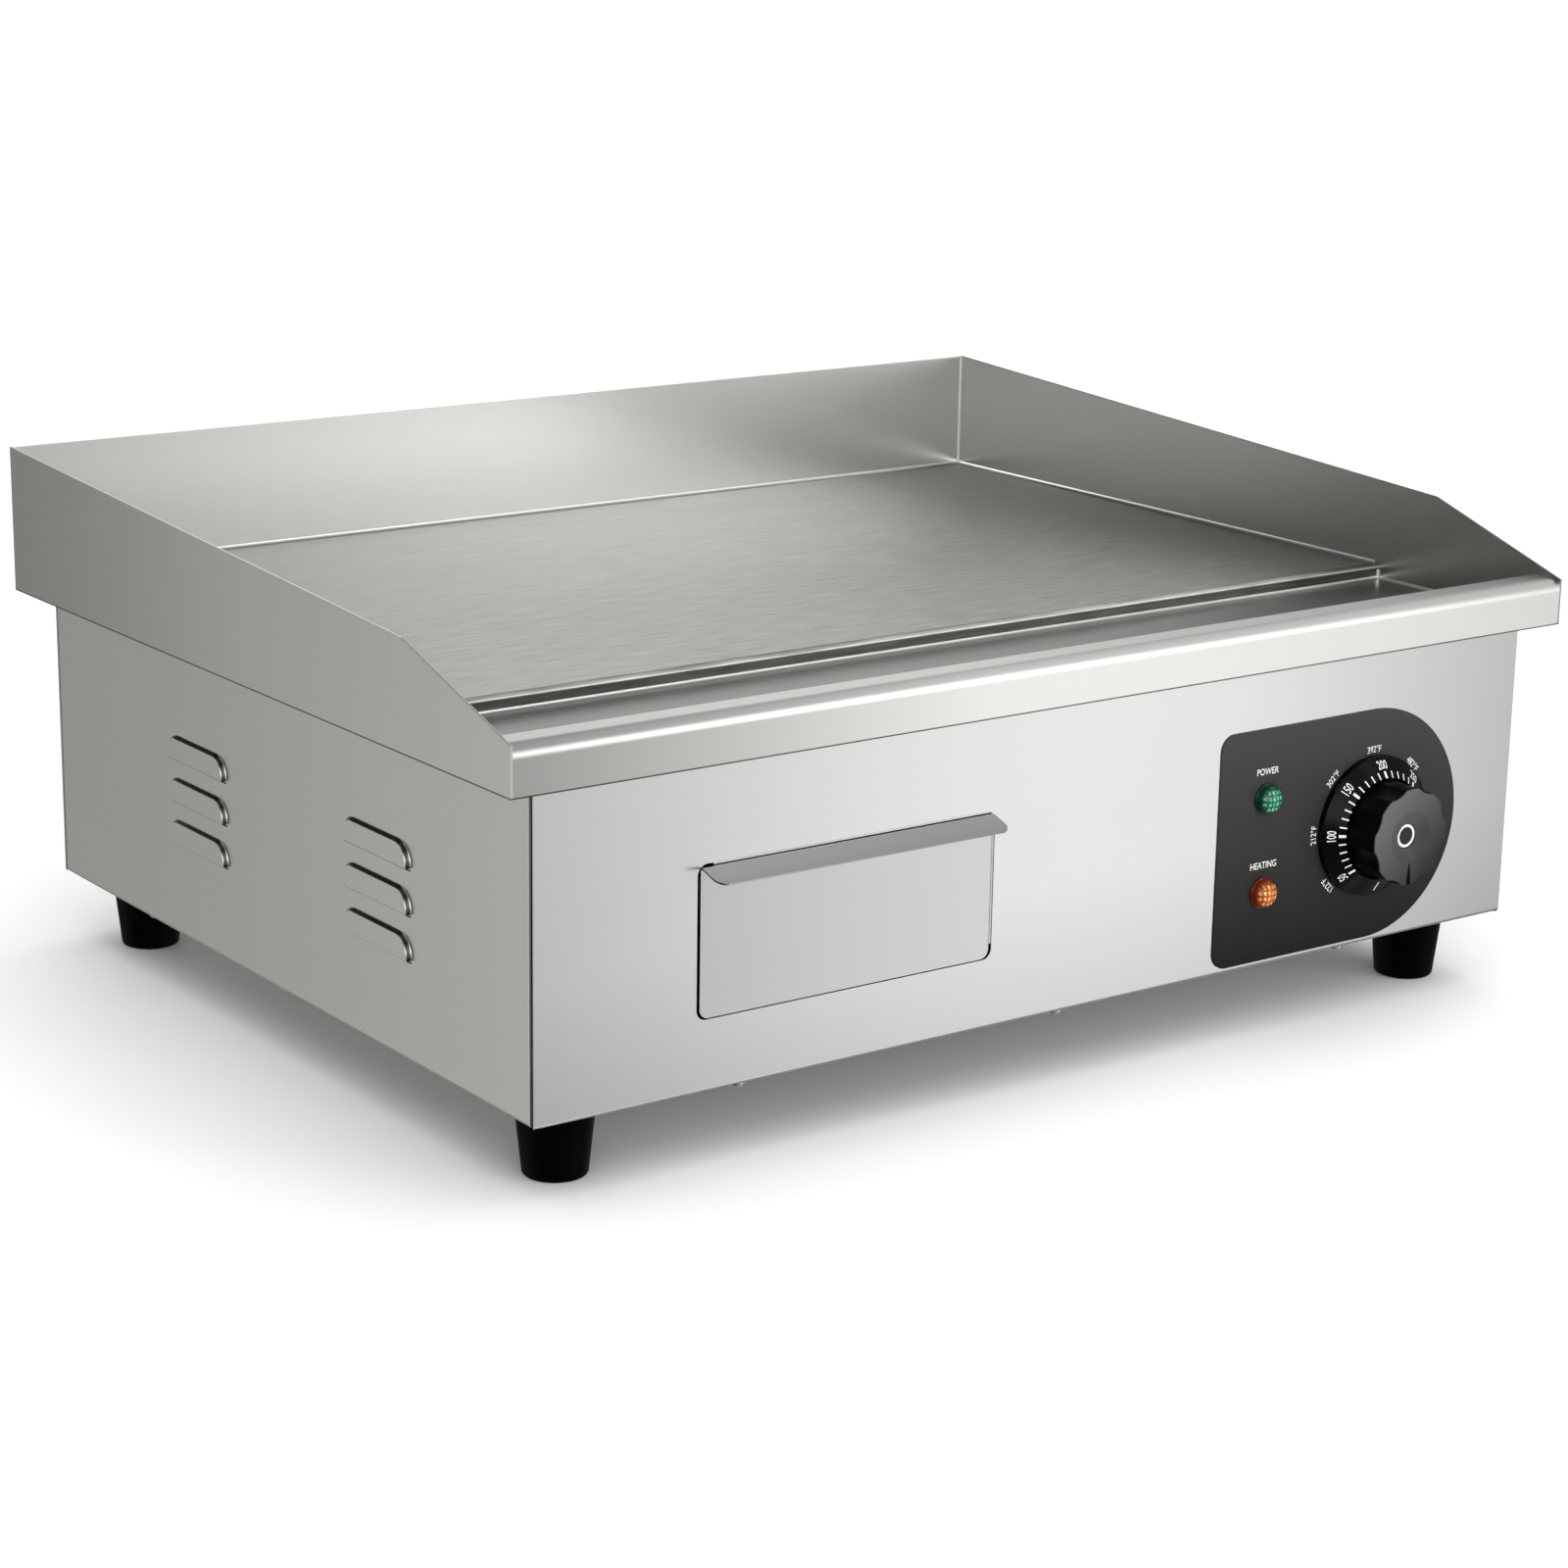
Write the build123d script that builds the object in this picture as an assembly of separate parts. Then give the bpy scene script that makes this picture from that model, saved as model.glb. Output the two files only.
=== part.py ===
from build123d import *
import os
from math import radians, tan

# Countertop electric griddle, in millimetres.
# +X is to the right, +Y to the rear and +Z up. The origin is on the counter, under the middle of the pan.

# ---------------------------------------------------------------- pan
pan_width = 550.0
pan_depth = 430.0
plate_top = 174.0
plate_thickness = 8.0
plate_front_edge = 2.5
trough_depth_from_front = 112.0
guard_sheet = 1.0
guard_edge = 0.3
guard_rear_height = 58.0
guard_bend_height = 37.5
guard_bend_from_front = 78.0
lip_height = 12.4
lip_width = 17.0
lip_bend = 4.5
trough_bend = 1.5
drain_radius = 13.0
drain_wall = 1.0
drain_from_front = 55.0

# ---------------------------------------------------------------- case
case_side_setback = 15.7
case_front_setback = 9.5
case_rear_setback = 8.5
case_bottom = 32.0
case_sheet = 0.8
case_bend = 0.8
flange = 11.0
return_depth = 12.0
return_end_gap = 2.0
corner_gap = 1.5
fit_gap = 0.3

# ---------------------------------------------------------------- louvres
louvre_width = 54.4
louvre_height = 10.5
louvre_corner = 9.5
louvre_rise = 2.0
louvre_slope = 32.0
louvre_inset = 2.0
louvre_pitch = 19.0
louvre_rows = 3
louvre_lowest = 74.7
louvre_front_start = 90.5
louvre_column_pitch = 155.3

# ---------------------------------------------------------------- feet
foot_top_radius = 16.6
foot_bottom_radius = 13.1
foot_edge = 1.8
foot_inset_x = 28.1
foot_inset_y = 29.8
foot_pocket_radius = 6.0
foot_pocket_height = 23.5
washer_radius = 5.7
washer_thickness = 1.5

# ---------------------------------------------------------------- fasteners
m4 = 2.0
m5 = 2.5
m6 = 3.0
m5_nut = 4.0
m6_nut = 5.0
stud_past_nut = 3.0
thread_gap = 0.05
hole_gap = 0.15
stud_gap = 0.4

# ---------------------------------------------------------------- grease drawer
drawer_width = 143.0
drawer_height = 62.0
drawer_from_left = 75.3
drawer_sheet = 0.8
drawer_corner = 4.0
drawer_side_gap = 1.5
drawer_edge_gap = 0.5
drawer_headroom = 1.7
handle_reach = 13.0
handle_drop = 4.5
handle_bend = 0.8
handle_corner = 5.0
tray_inset = 4.0
tray_floor_rise = 3.0
tray_rim_drop = 6.0
tray_depth = 220.0
guide_sheet = 1.0
guide_ledge = 9.0
guide_foot = 12.0
guide_web_rise = 22.0
slide_gap = 0.3

# ---------------------------------------------------------------- heating
element_radius = 4.0
element_gap = 0.2
element_leg_count = 4
element_first_leg = 25.0
element_side_margin = 54.3
element_end_gap = 5.0
tail_from_shield_rear = 14.0
element_drop_bend = 16.0
element_tail = 44.0
pin_radius = 1.6
pin_length = 12.0
bush_radius = 7.0
bush_flange_radius = 10.0
bush_flange = 3.0
clamp_width = 20.0
clamp_thickness = 3.0
clamp_stud_past_nut = 1.0
clamp_shares = (0.3, 0.74)
shield_drop = 40.0
shield_sheet = 0.8
shield_side_margin = 9.0
shield_front_margin = 10.0
shield_rear_margin = 2.0
shield_flange = 13.0
blanket_thickness = 20.0
bulb_radius = 3.0
bulb_length = 100.0
capillary_radius = 1.0
limiter_radius = 8.0
limiter_height = 9.0
limiter_from_dial = 45.0
clip_width = 12.0
clip_sheet = 1.0

# ---------------------------------------------------------------- controls
dial_from_right = 86.3
dial_height = 86.5
overlay_thickness = 0.6
overlay_radius = 52.0
overlay_reach_left = 90.0
overlay_corner = 7.5
bezel_knob_gap = 0.8
bezel_cone_width = 8.9
bezel_rim = 3.0
bezel_height = 9.0
bezel_floor = 2.5
bezel_hole_radius = 7.0
knob_reach = 25.6
knob_radius = 21.7
knob_lobes = 8
scallop_radius = 12.0
scallop_depth = 1.4
knob_edge = 0.8
knob_back_gap = 0.8
knob_wall = 2.4
knob_face_thickness = 6.0
dish_radius = 11.7
dish_depth = 3.0
badge_radius = 5.6
badge_thickness = 1.2
pointer_width = 3.4
pointer_depth = 1.0
hub_radius = 6.5
shaft_radius = 3.0
shaft_flat = 1.6
shaft_gap = 0.05
shaft_in_knob = 12.0
shaft_in_body = 15.0
thermostat_width = 44.0
thermostat_depth = 34.0
thermostat_corner = 4.0
thermostat_screw_offset = 14.0
blade_width = 6.3
blade_thickness = 0.8
blade_length = 8.0
blade_offset = 10.0
lamp_from_dial = 63.0
lamp_heights = (21.0, -21.0)
lens_radius = 7.0
lens_flange = 1.4
lens_height = 6.0
lamp_radius = 5.0
lamp_depth = 24.0
lamp_clip_radius = 8.5
lamp_clip_thickness = 1.0

# ---------------------------------------------------------------- supply side
gland_from_right = 79.3
gland_height = 66.0
gland_reach = 24.6
gland_bore_radius = 4.0
gland_thread_radius = 8.0
gland_flange = 5.0
gland_inside = 10.0
gland_hex_radius = 12.0
locknut_thickness = 4.0
earth_from_gland = 40.0
earth_washer = 1.2
earth_groove_radius = 2.4
earth_groove_width = 1.0
earth_free_length = 6.0
earth_stud_in = 10.0
block_from_rear = 50.0
block_length = 54.0
block_width = 24.0
block_height = 20.0
block_pole_pitch = 16.0
wire_radius = 1.3

# ---------------------------------------------------------------- places worked out from the sizes above
half_pan = pan_width / 2
front_y = -pan_depth / 2
rear_y = pan_depth / 2
pan_bottom = plate_top - plate_thickness
plate_front_y = front_y + trough_depth_from_front
plate_rear_y = rear_y - guard_sheet
half_plate = half_pan - guard_sheet
half_case = half_pan - case_side_setback
case_front_y = front_y + case_front_setback
case_rear_y = rear_y - case_rear_setback
panel_back_y = case_front_y + case_sheet
front_screw_y = panel_back_y + return_depth / 2 - 1
side_front_y = panel_back_y + corner_gap
side_rear_y = case_rear_y - case_sheet
base_z = case_bottom + case_sheet
floor_z = base_z + case_sheet
flange_middle_x = half_case - flange / 2 - 1.0
foot_x = half_case - foot_inset_x
foot_front_y = case_front_y + foot_inset_y
foot_rear_y = case_rear_y - foot_inset_y

shield_floor_z = pan_bottom - shield_drop
drawer_top = shield_floor_z - drawer_headroom
drawer_bottom = drawer_top - drawer_height
drawer_left = drawer_from_left - half_case
drawer_x = drawer_left + drawer_width / 2
drain_y = front_y + drain_from_front

dial_x = half_case - dial_from_right
overlay_front_y = case_front_y - overlay_thickness
bezel_inner_radius = knob_radius + bezel_knob_gap
bezel_radius = bezel_inner_radius + bezel_cone_width
bezel_floor_y = overlay_front_y - bezel_floor
knob_face_y = case_front_y - knob_reach
knob_back_y = bezel_floor_y - knob_back_gap
lamp_x = dial_x - lamp_from_dial
thermostat_rear_y = panel_back_y + thermostat_depth

element_z = pan_bottom - element_gap - element_radius
element_last_leg = half_case - element_side_margin
element_pitch = (element_last_leg - element_first_leg) / (element_leg_count - 1)
element_turn = element_pitch / 2
shield_half = element_last_leg + element_radius + shield_side_margin
shield_front_y = plate_front_y + shield_front_margin
shield_rear_y = case_rear_y - return_depth - shield_rear_margin
element_front_y = shield_front_y + element_end_gap + element_radius + element_turn
element_rear_y = shield_rear_y - element_end_gap - element_radius - element_turn
tail_y = shield_rear_y - tail_from_shield_rear
tail_start_y = tail_y - element_drop_bend
tail_bottom = element_z - element_tail
clamp_top = element_z - element_radius - element_gap
leg_length = element_rear_y - element_front_y
clamp_ys = [element_front_y + share * leg_length for share in clamp_shares]
clamp_xs = [element_first_leg + element_pitch * (leg + 0.5) for leg in (0, element_leg_count - 2)]
shield_stud_x = shield_half + shield_flange / 2
bulb_z = pan_bottom - element_gap - bulb_radius
bulb_front_y = shield_front_y + 40.0
case_stud_ys = (plate_front_y + 20.0, plate_rear_y - 30.0)
shield_stud_ys = (shield_front_y + 45.0, shield_rear_y - 45.0)

gland_x = half_case - gland_from_right
earth_x = gland_x + earth_from_gland
block_y = case_rear_y - block_from_rear


# ---------------------------------------------------------------- helpers
def block(x, y, z):
    """A box from its (low, high) pairs along X, Y and Z."""
    sizes = [high - low for low, high in (x, y, z)]
    middles = [(high + low) / 2 for low, high in (x, y, z)]
    return Pos(*middles) * Box(*sizes)


def place(shape, origin, direction):
    """A shape built on the XY plane, set at an origin with its +Z along a direction."""
    return Plane(origin=origin, z_dir=direction).location * shape


def rod(origin, direction, radius, length):
    """A cylinder that starts at an origin and runs along a direction."""
    return place(extrude(Circle(radius), amount=length), origin, direction)


def facing_front(x, y, z):
    """The place of a shape built on the XY plane that faces the front, with its X still to the right."""
    return Plane(origin=(x, y, z), x_dir=(1, 0, 0), z_dir=(0, -1, 0)).location


def both_sides(x):
    """A half width as the (low, high) pair about the middle."""
    return (-x, x)


def bent_sheet(points, thickness, bend):
    """The outline of a folded sheet. The points run along one skin, with the metal on their left."""
    corners = [Vector(*point) for point in points]
    runs = [(b - a).normalized() for a, b in zip(corners, corners[1:])]
    lefts = [Vector(-run.Y, run.X) for run in runs]
    lining = [corners[0] + lefts[0] * thickness]
    for corner, before, after in zip(corners[1:], lefts, lefts[1:]):
        lining.append(corner + (before + after) * (thickness / (1 + before.dot(after))))
    lining.append(corners[-1] + lefts[-1] * thickness)
    turns = [before.X * after.Y - before.Y * after.X for before, after in zip(runs, runs[1:])]
    outside, inside = bend + thickness, bend
    skin_radii = [outside if turn > 0 else inside for turn in turns]
    lining_radii = [inside if turn > 0 else outside for turn in turns]
    skin_line = FilletPolyline(*corners, radius=skin_radii)
    lining_line = FilletPolyline(*lining, radius=lining_radii)
    ends = [Line(corners[0], lining[0]), Line(corners[-1], lining[-1])]
    return make_face([*skin_line.edges(), *lining_line.edges(), *[end.edge() for end in ends]])


def profile_along_x(face, x):
    """A YZ outline carried along X between a (low, high) pair."""
    return extrude(Plane(origin=(x[0], 0, 0), x_dir=(0, 1, 0), z_dir=(1, 0, 0)) * face, amount=x[1] - x[0])


def hex_nut(thread_radius, thickness):
    """A hexagon nut that stands on the XY plane."""
    across_corners = thread_radius * 1.9
    return extrude(RegularPolygon(across_corners, 6) - Circle(thread_radius + thread_gap), amount=thickness)


def pan_screw(thread_radius, length):
    """A cross-head screw. Its seat is the XY plane and its shank runs up +Z."""
    head_radius, head_height = thread_radius * 1.85, thread_radius * 1.2
    head = fillet(
        extrude(Circle(head_radius), amount=-head_height).edges().sort_by(Axis.Z)[0], head_height * 0.6
    )
    slot = Box(head_radius, thread_radius * 0.4, head_height)
    cross = Pos(0, 0, -head_height) * (slot + Rot(0, 0, 90) * slot)
    return head + extrude(Circle(thread_radius), amount=length) - cross


def countersunk_screw(thread_radius, length):
    """A flush screw. Its face is the XY plane and its shank runs up +Z."""
    head_radius = thread_radius * 1.9
    head = Pos(0, 0, thread_radius / 2) * Cone(head_radius, thread_radius, thread_radius)
    slot = Box(head_radius, thread_radius * 0.4, thread_radius)
    return head + extrude(Circle(thread_radius), amount=length) - (slot + Rot(0, 0, 90) * slot)


def tube(points, radius):
    """A round tube along a route, with each corner as large an arc as its two runs allow."""
    corners = [Vector(*point) for point in points]
    runs = [b - a for a, b in zip(corners, corners[1:])]
    radii = []
    for before, after in zip(runs, runs[1:]):
        half_turn = radians(before.get_angle(after)) / 2
        radii.append(0.45 * min(before.length, after.length) / tan(half_turn))
    route = FilletPolyline(*corners, radius=radii)
    return sweep(Plane(origin=corners[0], z_dir=runs[0]) * Circle(radius), path=route)


# ---------------------------------------------------------------- pan
def griddle_plate():
    """The cooking plate, with its front edge rounded."""
    plate = block(both_sides(half_plate), (plate_front_y, plate_rear_y), (pan_bottom, plate_top))
    front_edge = plate.edges().filter_by(Axis.X).sort_by(lambda edge: edge.center().Y - edge.center().Z)[0]
    return fillet(front_edge, plate_front_edge)


def plate_studs(places, radius, length):
    """Threaded studs welded to the underside of the plate, one at each place."""
    return [rod((x, y, pan_bottom), (0, 0, -1), radius, length) for x, y in places]


def front_trough():
    """The front lip and the trough floor, folded from one sheet."""
    lip_top = plate_top + lip_height
    skin = [
        (front_y, pan_bottom),
        (front_y, lip_top),
        (front_y + lip_width, lip_top),
        (front_y + lip_width, pan_bottom + guard_sheet),
        (plate_front_y, pan_bottom + guard_sheet),
    ]
    radii_outside = [lip_bend + guard_sheet, trough_bend + guard_sheet, trough_bend]
    radii_inside = [lip_bend, trough_bend, trough_bend + guard_sheet]
    lining = [
        (front_y + guard_sheet, pan_bottom),
        (front_y + guard_sheet, lip_top - guard_sheet),
        (front_y + lip_width - guard_sheet, lip_top - guard_sheet),
        (front_y + lip_width - guard_sheet, pan_bottom),
        (plate_front_y, pan_bottom),
    ]
    outer = FilletPolyline(*skin, radius=radii_outside)
    inner = FilletPolyline(*lining, radius=radii_inside)
    ends = [Line(skin[0], lining[0]), Line(skin[-1], lining[-1])]
    face = make_face([*outer.edges(), *inner.edges(), *[end.edge() for end in ends]])
    trough = profile_along_x(face, both_sides(half_plate))
    drain = Pos(drawer_x, drain_y, pan_bottom) * Cylinder(drain_radius, 6 * guard_sheet)
    return trough - drain


def side_guard(side):
    """One side's splash guard: its top edge falls in two straight runs to the lip."""
    outline = Polyline(
        (front_y, pan_bottom),
        (front_y, plate_top + lip_height),
        (front_y + guard_bend_from_front, plate_top + guard_bend_height),
        (rear_y, plate_top + guard_rear_height),
        (rear_y, pan_bottom),
        close=True,
    )
    guard = profile_along_x(make_face(outline), sorted((side * half_plate, side * half_pan)))
    long_top = [e for e in guard.edges() if e.center().Z > plate_top + lip_height and e.length > 5]
    return fillet(long_top, guard_edge)


def rear_guard():
    """The rear splash guard, between the two side guards."""
    guard = block(both_sides(half_plate), (plate_rear_y, rear_y), (pan_bottom, plate_top + guard_rear_height))
    return fillet(guard.edges().filter_by(Axis.X).group_by(Axis.Z)[-1], guard_edge)


def drain_spout():
    """The tube that leads the trough's grease down into the drawer."""
    outer = drain_radius + drain_wall
    ring = Circle(outer) - Circle(drain_radius)
    return Pos(drawer_x, drain_y, drawer_top + drawer_headroom) * extrude(ring, amount=shield_drop)


# ---------------------------------------------------------------- case
def louvre(y, z):
    """One side louvre as (hood, hollow), for the right-hand wall. It opens downwards at the height z."""
    def outline(inset):
        width = louvre_width - 2 * inset
        height = louvre_height - inset
        shape = Pos(y, z + height / 2) * Rectangle(width, height)
        top_corners = shape.vertices().sort_by(Axis.Y)[-2:]
        return fillet(top_corners, louvre_corner - inset)

    below = Pos(y, z - louvre_height / 2) * Rectangle(louvre_width + 2 * louvre_height, louvre_height)
    wall = Plane(origin=(half_case, 0, 0), x_dir=(0, 1, 0), z_dir=(1, 0, 0))
    inner_wall = Plane(origin=(half_case - case_sheet, 0, 0), x_dir=(0, 1, 0), z_dir=(1, 0, 0))
    tall = Pos(y, z) * Rectangle(louvre_width, 2 * louvre_height)
    hood_outline = fillet(tall.vertices(), louvre_corner)
    hood = extrude(wall * hood_outline, amount=louvre_rise, taper=louvre_slope)
    hood -= extrude(wall * below, amount=2 * louvre_rise)
    hollow = extrude(inner_wall * outline(louvre_inset), amount=louvre_rise)
    return hood, hollow


def side_panel(side):
    """A louvred side wall with flanges turned inwards on all four edges."""
    inner = half_case - flange
    tray = block((inner, half_case), (side_front_y, side_rear_y), (case_bottom, pan_bottom))
    tray = fillet(tray.faces().sort_by(Axis.X)[-1].edges(), case_bend + case_sheet)
    hollow = block(
        (inner - flange, half_case - case_sheet),
        (side_front_y + case_sheet, side_rear_y - case_sheet),
        (case_bottom + case_sheet, pan_bottom - case_sheet),
    )
    hollow = fillet(hollow.faces().sort_by(Axis.X)[-1].edges(), case_bend)
    panel = tray - hollow
    for column in range(2):
        y = case_front_y + louvre_front_start + louvre_width / 2 + column * louvre_column_pitch
        for row in range(louvre_rows):
            hood, opening = louvre(y, louvre_lowest + row * louvre_pitch)
            panel = panel + hood - opening
    for y in case_stud_ys:
        panel -= rod((flange_middle_x, y, pan_bottom + 1), (0, 0, -1), m5 + stud_gap, 2 + case_sheet)
    for y in base_screw_ys():
        panel -= rod((flange_middle_x, y, case_bottom - 1), (0, 0, 1), m4 + thread_gap, 2 + case_sheet)
    for z in rear_screw_heights():
        panel -= rod((flange_middle_x, side_rear_y - flange, z), (0, 1, 0), m4 + thread_gap, 2 * flange)
    return panel if side > 0 else mirror(panel, Plane.YZ)


def base_screw_ys():
    """Where the screws that join the base to the side walls lie, front to rear."""
    reach = (side_rear_y - side_front_y) / 2
    middle = (side_rear_y + side_front_y) / 2
    return [middle + share * reach for share in (-0.6, 0.0, 0.6)]


def rear_screw_heights():
    """The heights of the rear panel's screws."""
    low, high = case_bottom + 20.0, pan_bottom - 20.0
    return [low, (low + high) / 2, high]


def front_screw_xs():
    """Where the front panel's lower screws lie."""
    return [share * half_case for share in (-0.625, 0.0, 0.625)]


def folded_panel(face_y, inward):
    """A full-width wall with short returns along its top and bottom edges; inward is +1 or -1 along Y."""
    reach = face_y + inward * return_depth
    skin = [(reach, case_bottom), (face_y, case_bottom), (face_y, pan_bottom), (reach, pan_bottom)]
    if inward > 0:
        skin.reverse()
    panel = profile_along_x(bent_sheet(skin, case_sheet, case_bend), both_sides(half_case))
    back_y = face_y + inward * case_sheet
    end_y = face_y + inward * (return_depth + 1)
    low, high = sorted((back_y, end_y))
    return_end = half_case - flange - return_end_gap
    for side in (-1, 1):
        ends = sorted((side * return_end, side * (half_case + 1)))
        panel -= block(ends, (low, high), (case_bottom - 1, pan_bottom + 1))
    return panel


def drawer_opening():
    """The drawer's rounded cut-out in the front panel."""
    width = drawer_width + 2 * drawer_side_gap
    height = drawer_height + 2 * drawer_edge_gap
    outline = fillet(Rectangle(width, height).vertices(), drawer_corner + drawer_edge_gap)
    hole = extrude(outline, amount=4 * case_sheet, both=True)
    return facing_front(drawer_x, case_front_y, drawer_bottom + drawer_height / 2) * hole


def control_holes(depth):
    """The shaft, screw and lamp holes behind the controls, cut to a depth each way from the front face."""
    back = (0, 1, 0)
    start_y = case_front_y - depth
    holes = rod((dial_x, start_y, dial_height), back, bezel_hole_radius, 2 * depth)
    for side in (-1, 1):
        x = dial_x + side * thermostat_screw_offset
        holes += rod((x, start_y, dial_height), back, m4 + hole_gap, 2 * depth)
    for height in lamp_heights:
        holes += rod((lamp_x, start_y, dial_height + height), back, lamp_radius + hole_gap, 2 * depth)
    return holes


def front_panel():
    """The front wall, with the drawer's opening and the holes for the controls."""
    panel = folded_panel(case_front_y, 1) - drawer_opening() - control_holes(4 * case_sheet)
    for x in front_screw_xs():
        panel -= rod((x, front_screw_y, case_bottom - 1), (0, 0, 1), m4 + thread_gap, 2 + case_sheet)
    return panel


def rear_panel():
    """The rear wall, with the holes for the cable gland, the earth stud and its screws."""
    panel = folded_panel(case_rear_y, -1)
    back = (0, 1, 0)
    start_y = case_rear_y - 2 * case_sheet
    panel -= rod((gland_x, start_y, gland_height), back, gland_thread_radius + hole_gap, 4 * case_sheet)
    panel -= rod((earth_x, start_y, gland_height), back, m6 + hole_gap, 4 * case_sheet)
    for side in (-1, 1):
        for z in rear_screw_heights():
            panel -= rod((side * flange_middle_x, start_y, z), back, m4 + thread_gap, 4 * case_sheet)
    return panel


def foot_places():
    """The feet's centres by name."""
    return {
        "foot_front_left": (-foot_x, foot_front_y),
        "foot_front_right": (foot_x, foot_front_y),
        "foot_rear_left": (-foot_x, foot_rear_y),
        "foot_rear_right": (foot_x, foot_rear_y),
    }


def base_plate():
    """The floor of the case, which lies on the walls' lower flanges."""
    half = half_case - case_sheet - case_bend - fit_gap
    y = (side_front_y + case_sheet + fit_gap, side_rear_y - case_sheet - fit_gap)
    plate = block(both_sides(half), y, (base_z, floor_z))
    up = (0, 0, 1)
    for x, foot_y in foot_places().values():
        plate -= rod((x, foot_y, base_z - 1), up, m5 + hole_gap, 2 + case_sheet)
    for x in front_screw_xs():
        plate -= rod((x, front_screw_y, base_z - 1), up, m4 + thread_gap, 2 + case_sheet)
    for side in (-1, 1):
        for screw_y in base_screw_ys():
            plate -= rod((side * flange_middle_x, screw_y, base_z - 1), up, m4 + thread_gap, 2 + case_sheet)
    return plate


# ---------------------------------------------------------------- feet
def foot(x, y):
    """A tapered rubber foot with a pocket for its screw."""
    slope = (foot_top_radius - foot_bottom_radius) / base_z
    body = Pos(0, 0, base_z / 2) * Cone(foot_bottom_radius, foot_bottom_radius + slope * base_z, base_z)
    body = fillet(body.edges().sort_by(Axis.Z)[0], foot_edge)
    pocket = extrude(Circle(foot_pocket_radius), amount=foot_pocket_height)
    hole = extrude(Circle(m5 + hole_gap), amount=base_z)
    return Pos(x, y, 0) * (body - pocket - hole)


def foot_washer(x, y):
    """The steel washer at the top of a foot's pocket."""
    ring = Circle(washer_radius) - Circle(m5 + hole_gap)
    return Pos(x, y, foot_pocket_height - washer_thickness) * extrude(ring, amount=washer_thickness)


def foot_screw(x, y):
    """The screw that holds a foot up against the base."""
    seat_z = foot_pocket_height - washer_thickness
    return place(pan_screw(m5, floor_z + 5.5 - seat_z), (x, y, seat_z), (0, 0, 1))


def foot_nut(x, y):
    """The nut over the base that a foot's screw ends in."""
    return Pos(x, y, floor_z) * hex_nut(m5, m5_nut)


# ---------------------------------------------------------------- grease drawer
def drawer_front():
    """The drawer's face and its handle: one sheet, folded forward and down at the top."""
    top, bottom = drawer_top, drawer_bottom
    skin = [
        (panel_back_y, bottom),
        (panel_back_y, top),
        (case_front_y - handle_reach, top - handle_drop),
    ]
    profile = bent_sheet(skin, drawer_sheet, handle_bend)
    half = drawer_width / 2
    front = profile_along_x(profile, (drawer_x - half, drawer_x + half))
    tip_edges = [e for e in front.edges() if e.center().Y < case_front_y - handle_reach + 1 and e.length < 2]
    front = fillet(tip_edges, handle_corner)
    lower = [
        e for e in front.edges().filter_by(Axis.Y)
        if abs(e.center().Z - bottom) < 0.1 and e.length < 2 * drawer_sheet
    ]
    return fillet(lower, drawer_corner)


def drawer_tray():
    """The open grease tray behind the drawer's face."""
    half = drawer_width / 2 - tray_inset
    y = (panel_back_y, panel_back_y + tray_depth)
    z = (drawer_bottom + tray_floor_rise, drawer_top - tray_rim_drop)
    body = block((drawer_x - half, drawer_x + half), y, z)
    body = fillet(body.edges().filter_by(Axis.Z), drawer_corner)
    wall = drawer_sheet
    hollow = block(
        (drawer_x - half + wall, drawer_x + half - wall),
        (y[0] + wall, y[1] - wall),
        (z[0] + wall, z[1] + wall),
    )
    hollow = fillet(hollow.edges().filter_by(Axis.Z), drawer_corner - wall)
    return body - hollow


def drawer_guide(side):
    """A runner under one side of the tray, with a foot on the base and a stop at its rear end."""
    tray_half = drawer_width / 2 - tray_inset
    tray_bottom = drawer_bottom + tray_floor_rise
    ledge_top = tray_bottom - slide_gap
    web_inner = tray_half + slide_gap
    web_outer = web_inner + guide_sheet
    y = (panel_back_y + return_depth + 2, panel_back_y + tray_depth + slide_gap + guide_sheet)
    web = block((web_inner, web_outer), y, (floor_z, ledge_top + guide_web_rise))
    ledge = block((web_inner - guide_ledge, web_outer), y, (ledge_top - guide_sheet, ledge_top))
    rest = block((web_inner, web_outer + guide_foot), y, (floor_z, floor_z + guide_sheet))
    stop = block(
        (web_inner - guide_ledge, web_outer),
        (y[1] - guide_sheet, y[1]),
        (ledge_top - guide_sheet, ledge_top + guide_web_rise),
    )
    guide = web + ledge + rest + stop
    guide = guide if side > 0 else mirror(guide, Plane.YZ)
    return Pos(drawer_x, 0, 0) * guide


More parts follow.
